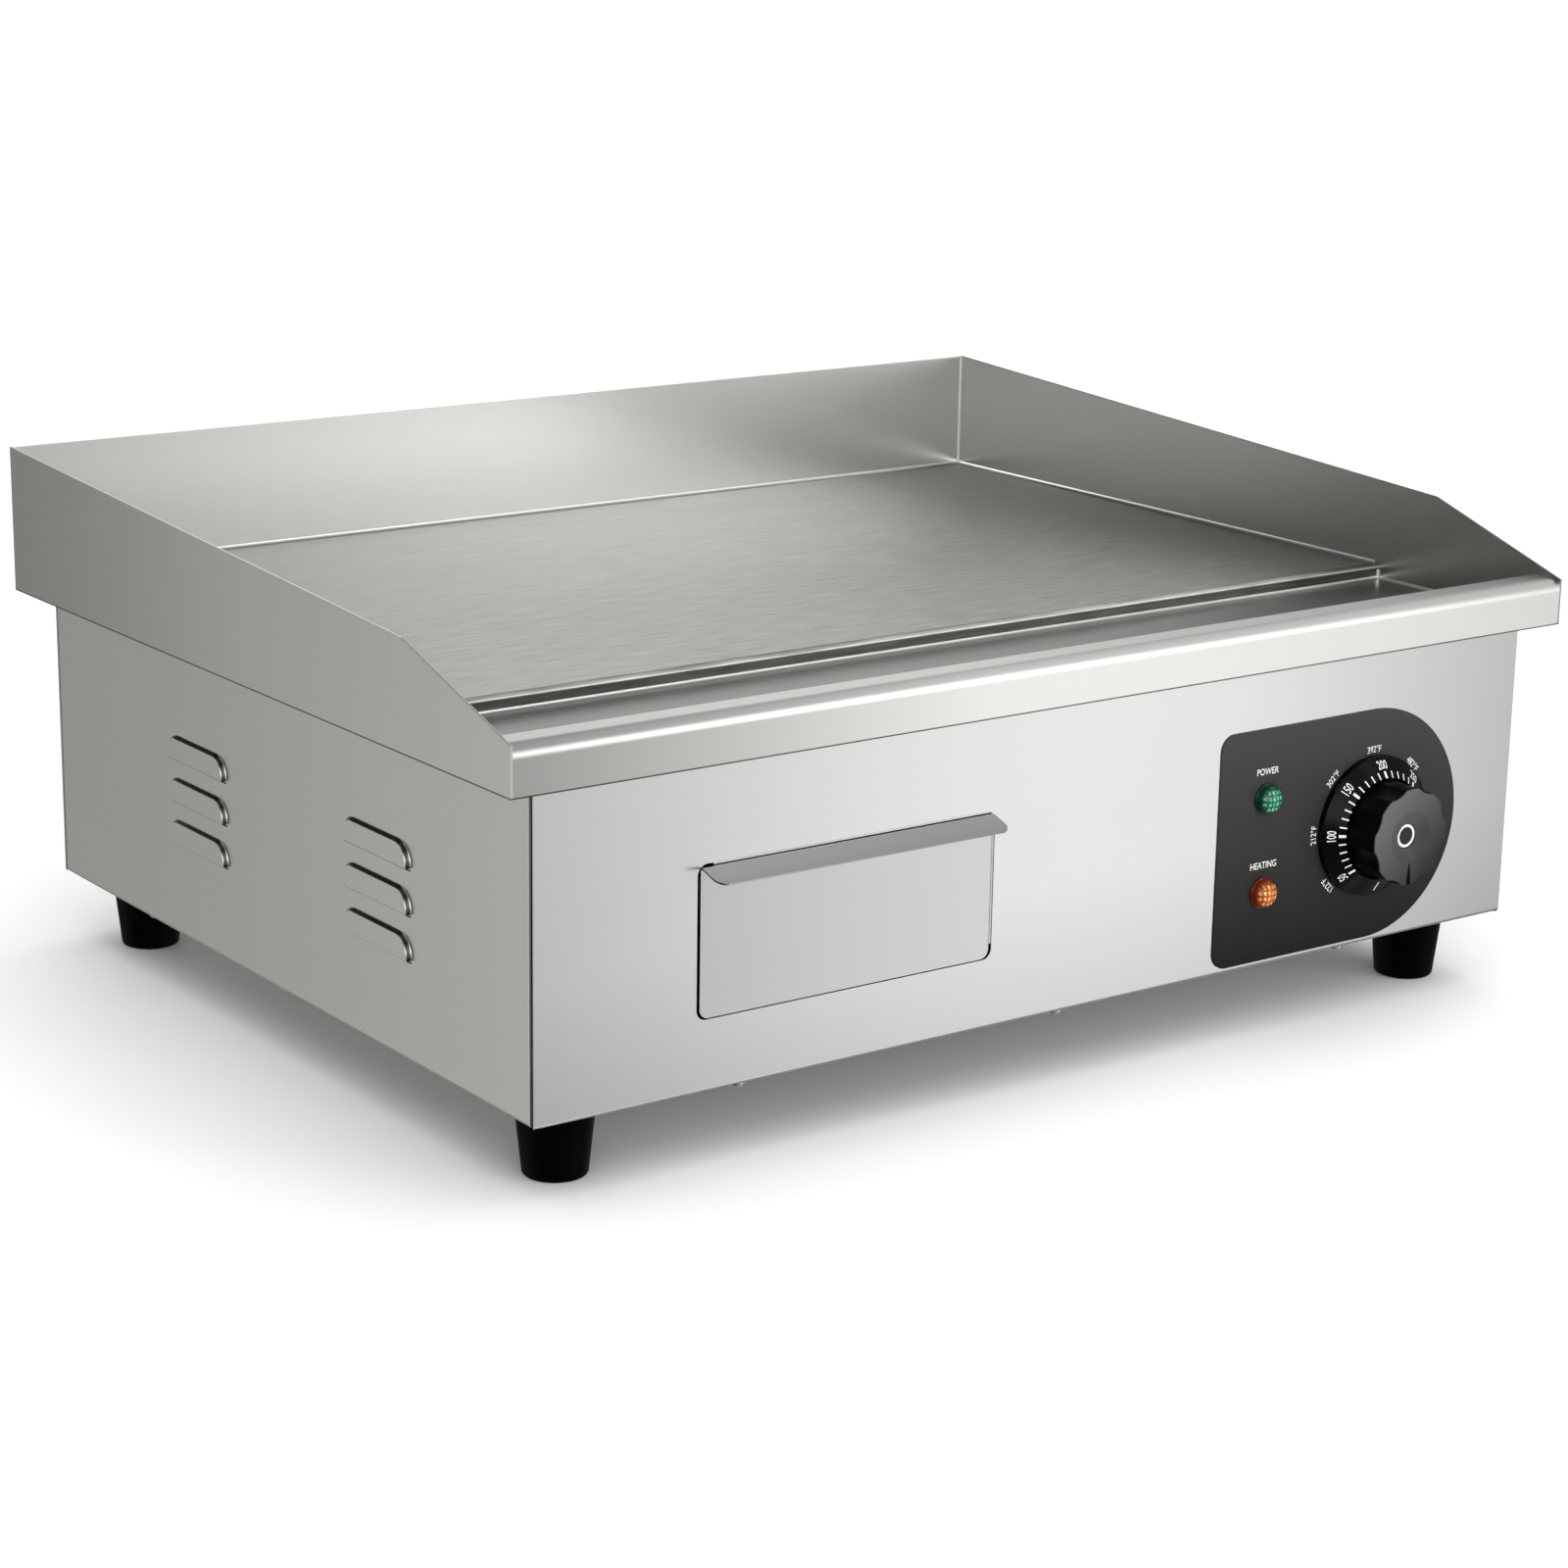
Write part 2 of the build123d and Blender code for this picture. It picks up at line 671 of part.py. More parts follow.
# ---------------------------------------------------------------- heating
def heating_element(side):
    """A tubular element in four legs joined by half-circle bends, with both tails turned down at the rear."""
    last = element_leg_count - 1
    lines = []
    for leg in range(element_leg_count):
        x = element_first_leg + leg * element_pitch
        rear_end = tail_start_y if leg in (0, last) else element_rear_y
        lines.append(Line((x, rear_end, element_z), (x, element_front_y, element_z)))
        if leg < last:
            bend_y = element_front_y if leg % 2 == 0 else element_rear_y
            outward = -element_turn if leg % 2 == 0 else element_turn
            lines.append(ThreePointArc(
                (x, bend_y, element_z),
                (x + element_turn, bend_y + outward, element_z),
                (x + element_pitch, bend_y, element_z),
            ))
    for x in (element_first_leg, element_last_leg):
        corner = element_drop_bend * (1 - 0.5 ** 0.5)
        lines.append(ThreePointArc(
            (x, tail_start_y, element_z),
            (x, tail_y - corner, element_z - corner),
            (x, tail_y, element_z - element_drop_bend),
        ))
        lines.append(Line((x, tail_y, element_z - element_drop_bend), (x, tail_y, tail_bottom)))
    path = Wire([line.edge() for line in lines])
    start = (element_first_leg, tail_y, tail_bottom)
    body = sweep(Plane(origin=start, z_dir=(0, 0, 1)) * Circle(element_radius), path=path)
    for x in (element_first_leg, element_last_leg):
        body += rod((x, tail_y, tail_bottom), (0, 0, -1), pin_radius, pin_length)
    return body if side > 0 else mirror(body, Plane.YZ)


def tail_places():
    """The four tails' centres."""
    return [(side * x, tail_y) for side in (-1, 1) for x in (element_first_leg, element_last_leg)]


def element_bush(x, y):
    """The brass bush that seals a tail where it passes the heat shield."""
    solid = extrude(Circle(bush_flange_radius), amount=-bush_flange)
    solid += extrude(Circle(bush_radius), amount=shield_sheet + 4.0)
    bore = Pos(0, 0, -bush_flange) * extrude(Circle(element_radius + thread_gap), amount=20)
    return Pos(x, y, shield_floor_z) * (solid - bore)


def heat_shield():
    """The steel tray that holds the blanket up and hangs from the plate by its side flanges."""
    y = (shield_front_y, shield_rear_y)
    tray = block(both_sides(shield_half), y, (shield_floor_z, pan_bottom))
    hollow = block(
        both_sides(shield_half - shield_sheet),
        (y[0] + shield_sheet, y[1] - shield_sheet),
        (shield_floor_z + shield_sheet, pan_bottom + 1),
    )
    rim = block(both_sides(shield_half + shield_flange), y, (pan_bottom - shield_sheet, pan_bottom))
    shield = tray + rim - hollow
    for side in (-1, 1):
        for stud_y in shield_stud_ys:
            shield -= rod((side * shield_stud_x, stud_y, pan_bottom + 1), (0, 0, -1), m5 + stud_gap, 4)
    for x, tail in tail_places():
        shield -= rod((x, tail, shield_floor_z - 1), (0, 0, 1), bush_radius + hole_gap, 4)
    return shield - rod((0, shield_front_y - 1, bulb_z), (0, 1, 0), 2 * capillary_radius, 4)


def insulation_blanket():
    """The ceramic wool that fills the bottom of the heat shield."""
    bottom = shield_floor_z + shield_sheet
    gap = shield_sheet + fit_gap
    blanket = block(
        both_sides(shield_half - gap),
        (shield_front_y + gap, shield_rear_y - gap),
        (bottom, bottom + blanket_thickness),
    )
    for x, y in tail_places():
        blanket -= rod((x, y, bottom - 1), (0, 0, 1), bush_radius + 1.0, blanket_thickness + 2)
    return blanket


def clamp_bar(y):
    """A flat bar that presses the elements up against the plate."""
    half = element_last_leg + element_radius + 4.0
    y_edges = (y - clamp_width / 2, y + clamp_width / 2)
    bar = block(both_sides(half), y_edges, (clamp_top - clamp_thickness, clamp_top))
    for side in (-1, 1):
        for x in clamp_xs:
            bar -= rod((side * x, y, clamp_top + 1), (0, 0, -1), m6 + stud_gap, clamp_thickness + 2)
    return bar


def nuts_under(places, thread_radius, top_z, thickness):
    """Nuts that hang under a height, one at each place."""
    return [Pos(x, y, top_z - thickness) * hex_nut(thread_radius, thickness) for x, y in places]


def sensor_bulb():
    """The thermostat's bulb, along the middle of the plate."""
    bulb = rod((0, bulb_front_y, bulb_z), (0, 1, 0), bulb_radius, bulb_length)
    return fillet(bulb.edges(), bulb_radius * 0.6)


def bulb_clip(y):
    """A saddle that holds the bulb up to the plate."""
    gap = 0.2
    reach = bulb_radius + gap
    hump = Pos(0, bulb_z) * (Circle(reach + clip_sheet) - Circle(reach))
    hump &= Pos(0, bulb_z - 10) * Rectangle(40, 20)
    legs = Pos(0, (bulb_z + pan_bottom) / 2) * Rectangle(2 * (reach + clip_sheet), pan_bottom - bulb_z)
    legs -= Pos(0, (bulb_z + pan_bottom) / 2) * Rectangle(2 * reach, pan_bottom - bulb_z)
    ears = Pos(0, pan_bottom - clip_sheet / 2) * Rectangle(26, clip_sheet)
    ears -= Pos(0, pan_bottom - clip_sheet / 2) * Rectangle(2 * reach, clip_sheet)
    outline = hump + legs + ears
    return extrude(Plane(origin=(0, y, 0), x_dir=(1, 0, 0), z_dir=(0, -1, 0)) * outline, amount=clip_width)


def capillary_tube():
    """The capillary from the thermostat's back to the bulb's front end."""
    start = (dial_x + blade_offset, thermostat_rear_y, dial_height + 14)
    points = [
        start,
        (start[0], start[1] + 34, start[2]),
        (start[0] - 20, plate_front_y - 22, start[2] + 36),
        (start[0] * 0.6, plate_front_y - 26, bulb_z - 9),
        (start[0] * 0.2, plate_front_y - 24, bulb_z - 3),
        (0, plate_front_y - 12, bulb_z),
        (0, bulb_front_y, bulb_z),
    ]
    return tube(points, capillary_radius)


def limit_thermostat():
    """The overheat cut-out under the heat shield: a capped disc with two blades."""
    x, y = dial_x - limiter_from_dial, shield_front_y + limiter_from_dial
    bottom = shield_floor_z - limiter_height
    body = rod((x, y, shield_floor_z), (0, 0, -1), limiter_radius, limiter_height)
    ear = limiter_radius + 4.0
    body += block((x - ear, x + ear), (y - 5, y + 5), (shield_floor_z - 1.0, shield_floor_z))
    half_thickness, half_width = blade_thickness / 2, blade_width / 2
    for side in (-1, 1):
        blade_x = x + side * 5
        body += block(
            (blade_x - half_thickness, blade_x + half_thickness),
            (y - half_width, y + half_width),
            (bottom - blade_length, bottom),
        )
    return body


# ---------------------------------------------------------------- controls
def control_overlay():
    """The printed plate behind the dial and the lamps."""
    left, height = overlay_reach_left, 2 * overlay_radius
    outline = Circle(overlay_radius) + Pos(-left / 2, 0) * Rectangle(left, height)
    corners = outline.vertices().sort_by(Axis.X)[:2]
    outline = fillet(corners, overlay_corner)
    plate = extrude(outline, amount=overlay_thickness)
    return facing_front(dial_x, case_front_y, dial_height) * plate - control_holes(4 * case_sheet)


def dial_bezel():
    """The conical ring that carries the scale, with a floor under the knob."""
    well = bezel_inner_radius
    outline = Polyline(
        (bezel_hole_radius, 0),
        (bezel_radius, 0),
        (bezel_radius, bezel_rim),
        (well, bezel_height),
        (well, bezel_floor),
        (bezel_hole_radius, bezel_floor),
        close=True,
    )
    ring = revolve(Plane.XZ * make_face(outline), axis=Axis.Z)
    ring = fillet(ring.edges().sort_by(Axis.Z)[-1], 0.5)
    bezel = facing_front(dial_x, overlay_front_y, dial_height) * ring
    for side in (-1, 1):
        x = dial_x + side * thermostat_screw_offset
        bezel -= place(countersunk_hole(m4), (x, bezel_floor_y, dial_height), (0, 1, 0))
    return bezel


def countersunk_hole(thread_radius):
    """The hole that a countersunk screw fills, with its clearance."""
    head_radius = thread_radius * 1.9 + hole_gap
    head = Pos(0, 0, thread_radius / 2) * Cone(head_radius, thread_radius + hole_gap, thread_radius)
    return head + Pos(0, 0, -0.5) * extrude(Circle(thread_radius + hole_gap), amount=20)


def knob():
    """The scalloped grip, with a dished face, a pointer groove and a D-shaped bore."""
    depth = knob_back_y - knob_face_y
    scallop_centre = knob_radius - scallop_depth + scallop_radius
    scallop_places = PolarLocations(scallop_centre, knob_lobes, start_angle=180 / knob_lobes)
    outline = Circle(knob_radius) - scallop_places * Circle(scallop_radius)
    outline = fillet(outline.vertices(), 1.5)
    grip = extrude(outline, amount=-depth)
    grip = fillet(grip.faces().sort_by(Axis.Z)[-1].edges(), knob_edge)
    sphere_radius = (dish_radius ** 2 + dish_depth ** 2) / (2 * dish_depth)
    grip -= Pos(0, 0, sphere_radius - dish_depth) * Sphere(sphere_radius)
    grip -= Pos(0, 0, -dish_depth - badge_thickness) * extrude(Circle(badge_radius), amount=dish_depth)
    half, tip, end = pointer_width / 2, 1 - dish_radius, -knob_radius - 1
    pointer = make_face(Polyline((0, tip), (half, end), (-half, end), close=True))
    grip -= Pos(0, 0, -pointer_depth) * extrude(pointer, amount=2 * pointer_depth)
    inner = knob_radius - scallop_depth - knob_wall
    hollow = extrude(Circle(inner) - Circle(hub_radius), amount=depth - knob_face_thickness)
    grip -= Pos(0, 0, -depth) * hollow
    bore = extrude(shaft_outline(shaft_gap), amount=shaft_in_knob + fit_gap)
    grip -= Pos(0, 0, -depth) * bore
    return facing_front(dial_x, knob_face_y, dial_height) * grip


def shaft_outline(gap):
    """The shaft's round section with one flat, grown by a gap."""
    radius = shaft_radius + gap
    flat = Pos(0, radius - shaft_flat / 2 + 2 * gap) * Rectangle(2 * radius, shaft_flat)
    return Circle(radius) - flat


def knob_badge():
    """The plain round badge at the bottom of the knob's dish."""
    disc = extrude(Circle(badge_radius - shaft_gap), amount=badge_thickness)
    return facing_front(dial_x, knob_face_y + dish_depth + badge_thickness, dial_height) * disc


def thermostat_shaft():
    """The thermostat's spindle: round in its body, with a flat in the knob."""
    upper = extrude(shaft_outline(0), amount=shaft_in_knob)
    lower = extrude(Circle(shaft_radius), amount=-(panel_back_y - knob_back_y + shaft_in_body - fit_gap))
    return facing_front(dial_x, knob_back_y, dial_height) * (upper + lower)


def thermostat_body():
    """The thermostat's housing behind the front panel, with its blades."""
    half = thermostat_width / 2
    y = (panel_back_y, thermostat_rear_y)
    body = block((dial_x - half, dial_x + half), y, (dial_height - half, dial_height + half))
    body = fillet(body.edges().filter_by(Axis.Y), thermostat_corner)
    back = (0, 1, 0)
    body -= rod((dial_x, panel_back_y - 1, dial_height), back, shaft_radius + shaft_gap, shaft_in_body + 1)
    for side in (-1, 1):
        screw_x = dial_x + side * thermostat_screw_offset
        body -= rod((screw_x, panel_back_y - 1, dial_height), back, m4 + thread_gap, 14)
        blade_x = dial_x + side * blade_offset
        body += block(
            (blade_x - blade_width / 2, blade_x + blade_width / 2),
            (thermostat_rear_y, thermostat_rear_y + blade_length),
            (dial_height - 6, dial_height - 6 + blade_thickness),
        )
    return body


def lamp_lens(height):
    """A domed lamp lens with a thin rim, hollowed from behind."""
    dome_radius = lens_radius - 0.7
    cap = lens_height - lens_flange
    sphere_radius = (dome_radius ** 2 + cap ** 2) / (2 * cap)
    dome = Pos(0, 0, lens_height - sphere_radius) * Sphere(sphere_radius)
    dome &= Pos(0, 0, lens_flange + cap / 2) * Box(20, 20, cap)
    rim = fillet(extrude(Circle(lens_radius), amount=lens_flange).edges().sort_by(Axis.Z)[-1], 0.5)
    pocket = extrude(Circle(lamp_radius - 1.0), amount=lens_flange + 1.5)
    return facing_front(lamp_x, overlay_front_y, dial_height + height) * (rim + dome - pocket)


def lamp_body(height):
    """A lamp's holder behind its lens, with two blades."""
    z = dial_height + height
    body = rod((lamp_x, overlay_front_y, z), (0, 1, 0), lamp_radius, lamp_depth)
    rear = overlay_front_y + lamp_depth
    for side in (-1, 1):
        x = lamp_x + side * 2.6
        body += block((x - 0.4, x + 0.4), (rear, rear + blade_length), (z - 1.4, z + 1.4))
    return body


def lamp_clip(height):
    """The spring ring that holds a lamp behind the panel."""
    ring = Circle(lamp_clip_radius) - Circle(lamp_radius + thread_gap)
    centre = (lamp_x, panel_back_y, dial_height + height)
    return place(extrude(ring, amount=lamp_clip_thickness), centre, (0, 1, 0))


# ---------------------------------------------------------------- supply side
def cable_gland():
    """The gland's body: a hexagon outside the rear panel and a threaded neck through it."""
    solid = extrude(RegularPolygon(gland_hex_radius, 6), amount=gland_flange)
    solid += extrude(Circle(gland_thread_radius), amount=-gland_inside)
    solid -= Pos(0, 0, -gland_inside) * extrude(Circle(gland_bore_radius + 1), amount=2 * gland_inside)
    return place(solid, (gland_x, case_rear_y, gland_height), (0, 1, 0))


def gland_locknut():
    """The lock nut inside the rear panel."""
    ring = RegularPolygon(gland_hex_radius + 1, 6) - Circle(gland_thread_radius + thread_gap)
    nut = extrude(ring, amount=-locknut_thickness)
    return place(nut, (gland_x, side_rear_y, gland_height), (0, 1, 0))


def gland_cap():
    """The domed cap nut that grips the cord."""
    length = gland_reach - gland_flange
    cap = extrude(Circle(gland_hex_radius - 1), amount=length)
    cap = fillet(cap.edges().sort_by(Axis.Z)[-1], 3.0)
    cap -= extrude(Circle(gland_bore_radius), amount=length)
    grooves = Sketch() + PolarLocations(gland_hex_radius - 0.6, 12) * Circle(0.9)
    cap -= extrude(grooves, amount=length * 0.6)
    return place(cap, (gland_x, case_rear_y + gland_flange, gland_height), (0, 1, 0))


def earth_terminal():
    """The equipotential stud through the rear panel, with its nuts and washer, and a free end past a groove."""
    back, start_y = (0, 1, 0), case_rear_y - earth_stud_in
    nut_y = case_rear_y + earth_washer
    groove_y = nut_y + m6_nut
    free_y = groove_y + earth_groove_width
    stud = rod((earth_x, start_y, gland_height), back, m6, groove_y - start_y)
    stud += rod((earth_x, groove_y, gland_height), back, earth_groove_radius, earth_groove_width)
    stud += rod((earth_x, free_y, gland_height), back, m6, earth_free_length)
    washer = extrude(Circle(7.0) - Circle(m6 + thread_gap), amount=earth_washer)
    washer = place(washer, (earth_x, case_rear_y, gland_height), back)
    outer_nut = place(hex_nut(m6, m6_nut), (earth_x, nut_y, gland_height), back)
    inner_nut = place(hex_nut(m6, m6_nut), (earth_x, side_rear_y, gland_height), (0, -1, 0))
    return [stud, washer, outer_nut, inner_nut]


def terminal_block():
    """A three-pole block on the base, with open wells for its clamps."""
    half_length, half_width = block_length / 2, block_width / 2
    x = (gland_x - half_length, gland_x + half_length)
    y = (block_y - half_width, block_y + half_width)
    body = block(x, y, (floor_z, floor_z + block_height))
    body = fillet(body.edges().filter_by(Axis.Z), 2.0)
    for pole in (-1, 0, 1):
        pole_x = gland_x + pole * block_pole_pitch
        body -= rod((pole_x, block_y, floor_z + block_height + 1), (0, 0, -1), 3.5, 9)
    for side in (-1, 1):
        body -= rod((gland_x + side * 8, block_y, floor_z - 1), (0, 0, 1), m4 + hole_gap, block_height + 2)
    return body


def block_screws():
    """The two screws that hold the terminal block down."""
    top = floor_z + block_height
    screw = pan_screw(m4, block_height)
    return [place(screw, (gland_x + side * 8, block_y, top), (0, 0, -1)) for side in (-1, 1)]


def wiring():
    """The wires inside the case, each from one terminal to the next."""
    wire_z = floor_z + block_height / 2
    block_front = block_y - block_width / 2
    right = half_case - flange - 16
    blade_end = thermostat_rear_y + blade_length
    pin_z = tail_bottom - pin_length
    live = (gland_x - block_pole_pitch, block_front, wire_z)
    feed = (gland_x + block_pole_pitch, block_front, wire_z)
    routes = [
        [
            live,
            (live[0], live[1] - 50, wire_z),
            (live[0] - 8, 0, floor_z + 6),
            (dial_x - blade_offset - 6, blade_end + 46, floor_z + 10),
            (dial_x - blade_offset, blade_end + 16, dial_height - 6),
            (dial_x - blade_offset, blade_end, dial_height - 6),
        ],
        [
            feed,
            (feed[0], feed[1] - 22, wire_z),
            (right, feed[1] - 30, wire_z + 16),
            (element_last_leg, tail_y, pin_z - 20),
            (element_last_leg, tail_y, pin_z),
        ],
    ]
    return [tube(route, wire_radius) for route in routes]


# ---------------------------------------------------------------- all the pieces by name
def group(solids):
    """Separate solids that share one node."""
    return Compound(children=list(solids))


def screws_up(places, z, thread_radius, length):
    """Screws whose heads lie under a height, pointing up."""
    return [place(pan_screw(thread_radius, length), (x, y, z), (0, 0, 1)) for x, y in places]


def pieces():
    """Every node's shape by its name."""
    feet = foot_places()
    centres = list(feet.values())
    case_studs = [(side * flange_middle_x, y) for side in (-1, 1) for y in case_stud_ys]
    shield_studs = [(side * shield_stud_x, y) for side in (-1, 1) for y in shield_stud_ys]
    clamp_studs = [(side * x, y) for side in (-1, 1) for x in clamp_xs for y in clamp_ys]
    front_places = [(x, front_screw_y) for x in front_screw_xs()]
    base_places = [(side * flange_middle_x, y) for side in (-1, 1) for y in base_screw_ys()]
    rear_places = [(side * flange_middle_x, z) for side in (-1, 1) for z in rear_screw_heights()]
    found = {
        "griddle_plate": griddle_plate(),
        "front_trough": front_trough(),
        "splash_guard_left": side_guard(-1),
        "splash_guard_right": side_guard(1),
        "splash_guard_rear": rear_guard(),
        "drain_spout": drain_spout(),
        "side_panel_left": side_panel(-1),
        "side_panel_right": side_panel(1),
        "front_panel": front_panel(),
        "rear_panel": rear_panel(),
        "base_plate": base_plate(),
        "plate_studs": group(
            plate_studs(case_studs, m5, case_sheet + m5_nut + stud_past_nut)
            + plate_studs(shield_studs, m5, shield_sheet + m5_nut + stud_past_nut)
            + plate_studs(clamp_studs, m6, pan_bottom - clamp_top + clamp_thickness + m6_nut + clamp_stud_past_nut)
        ),
        "pan_nuts": group(nuts_under(case_studs, m5, pan_bottom - case_sheet, m5_nut)),
        "front_panel_screws": group(screws_up(front_places, case_bottom, m4, 6.0)),
        "base_screws": group(screws_up(base_places, case_bottom, m4, 6.0)),
        "rear_panel_screws": group(
            place(pan_screw(m4, 6.0), (x, case_rear_y, z), (0, -1, 0)) for x, z in rear_places
        ),
        "foot_washers": group(foot_washer(x, y) for x, y in centres),
        "foot_screws": group(foot_screw(x, y) for x, y in centres),
        "foot_nuts": group(foot_nut(x, y) for x, y in centres),
        "heating_element_left": heating_element(-1),
        "heating_element_right": heating_element(1),
        "element_bushes": group(element_bush(x, y) for x, y in tail_places()),
        "element_clamp_bars": group(clamp_bar(y) for y in clamp_ys),
        "clamp_nuts": group(nuts_under(clamp_studs, m6, clamp_top - clamp_thickness, m6_nut)),
        "heat_shield": heat_shield(),
        "shield_nuts": group(nuts_under(shield_studs, m5, pan_bottom - shield_sheet, m5_nut)),
        "insulation_blanket": insulation_blanket(),
        "sensor_bulb": sensor_bulb(),
        "bulb_clips": group(bulb_clip(bulb_front_y + share * bulb_length) for share in (0.25, 0.8)),
        "capillary_tube": capillary_tube(),
        "limit_thermostat": limit_thermostat(),
        "control_overlay": control_overlay(),
        "dial_bezel": dial_bezel(),
        "knob": knob(),
        "knob_badge": knob_badge(),
        "thermostat_shaft": thermostat_shaft(),
        "thermostat_body": thermostat_body(),
        "thermostat_screws": group(
            place(
                countersunk_screw(m4, bezel_floor + overlay_thickness + case_sheet + 10),
                (dial_x + side * thermostat_screw_offset, bezel_floor_y, dial_height),
                (0, 1, 0),
            )
            for side in (-1, 1)
        ),
        "power_lamp_lens": lamp_lens(lamp_heights[0]),
        "power_lamp_body": lamp_body(lamp_heights[0]),
        "heating_lamp_lens": lamp_lens(lamp_heights[1]),
        "heating_lamp_body": lamp_body(lamp_heights[1]),
        "lamp_clips": group(lamp_clip(height) for height in lamp_heights),
        "drawer_front": drawer_front(),
        "drawer_tray": drawer_tray(),
        "drawer_guide_left": drawer_guide(-1),
        "drawer_guide_right": drawer_guide(1),
        "terminal_block": terminal_block(),
        "terminal_block_screws": group(block_screws()),
        "cable_gland": cable_gland(),
        "gland_locknut": gland_locknut(),
        "gland_cap": gland_cap(),
        "earth_terminal": group(earth_terminal()),
        "wiring": group(wiring()),
    }
    for name, (x, y) in feet.items():
        found[name] = foot(x, y)
    return found


os.makedirs("parts", exist_ok=True)
for name, shape in pieces().items():
    export_step(shape, f"parts/{name}.step")
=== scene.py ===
"""Looks of a countertop electric griddle: finishes, welds, printed scale, lamps and knob, over its fixed frame."""

import sys

import logging
from dataclasses import dataclass, field
from enum import Enum
from math import cos, pi, radians, sin

import bpy
import numpy as np
from mathutils import Matrix, Vector

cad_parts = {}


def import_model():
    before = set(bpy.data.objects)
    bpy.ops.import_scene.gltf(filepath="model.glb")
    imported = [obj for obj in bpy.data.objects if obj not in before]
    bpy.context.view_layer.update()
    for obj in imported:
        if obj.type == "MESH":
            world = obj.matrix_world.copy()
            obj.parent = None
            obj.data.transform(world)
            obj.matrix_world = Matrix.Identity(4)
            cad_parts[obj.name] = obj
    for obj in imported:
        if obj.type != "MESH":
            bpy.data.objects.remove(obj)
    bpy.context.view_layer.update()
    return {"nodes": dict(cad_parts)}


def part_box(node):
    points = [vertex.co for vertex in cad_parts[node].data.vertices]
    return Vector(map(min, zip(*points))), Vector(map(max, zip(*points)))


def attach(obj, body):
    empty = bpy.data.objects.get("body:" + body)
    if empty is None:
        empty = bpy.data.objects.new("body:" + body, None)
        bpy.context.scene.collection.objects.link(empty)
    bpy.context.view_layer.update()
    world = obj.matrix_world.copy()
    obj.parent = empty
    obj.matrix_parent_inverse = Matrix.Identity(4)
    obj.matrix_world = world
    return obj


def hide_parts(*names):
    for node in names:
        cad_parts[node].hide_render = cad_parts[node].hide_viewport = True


Colour = tuple[float, float, float]
Triple = tuple[float, float, float]
Pair = tuple[float, float]
log = logging.getLogger("griddle")


class Axis(Enum):
    """What brush lines run along and a shade changes along. OUT is the distance from the middle plane, x = 0."""

    X = 0
    Y = 1
    Z = 2
    OUT = 3


class Body(str, Enum):
    """The moving bodies that a piece may ride on."""

    GRIDDLE = "griddle"
    DIAL = "dial"
    DRAWER = "drawer"


# ---------------------------------------------------------------- shader maths
class Term:
    """A number worked out by shader nodes: Python's operators add Math nodes."""

    def __init__(self, net: "Net", socket: bpy.types.NodeSocket) -> None:
        """Wraps one output socket of a net."""
        self.net = net
        self.socket = socket

    def __add__(self, other: "Term | float") -> "Term":
        """Adds."""
        return self.net.maths("ADD", self, other)

    def __sub__(self, other: "Term | float") -> "Term":
        """Subtracts."""
        return self.net.maths("SUBTRACT", self, other)

    def __rsub__(self, other: float) -> "Term":
        """Subtracts this from a number."""
        return self.net.maths("SUBTRACT", other, self)

    def __mul__(self, other: "Term | float") -> "Term":
        """Multiplies."""
        return self.net.maths("MULTIPLY", self, other)

    def __truediv__(self, other: "Term | float") -> "Term":
        """Divides."""
        return self.net.maths("DIVIDE", self, other)

    def __pow__(self, other: "Term | float") -> "Term":
        """Raises to a power."""
        return self.net.maths("POWER", self, other)

    __radd__ = __add__
    __rmul__ = __mul__


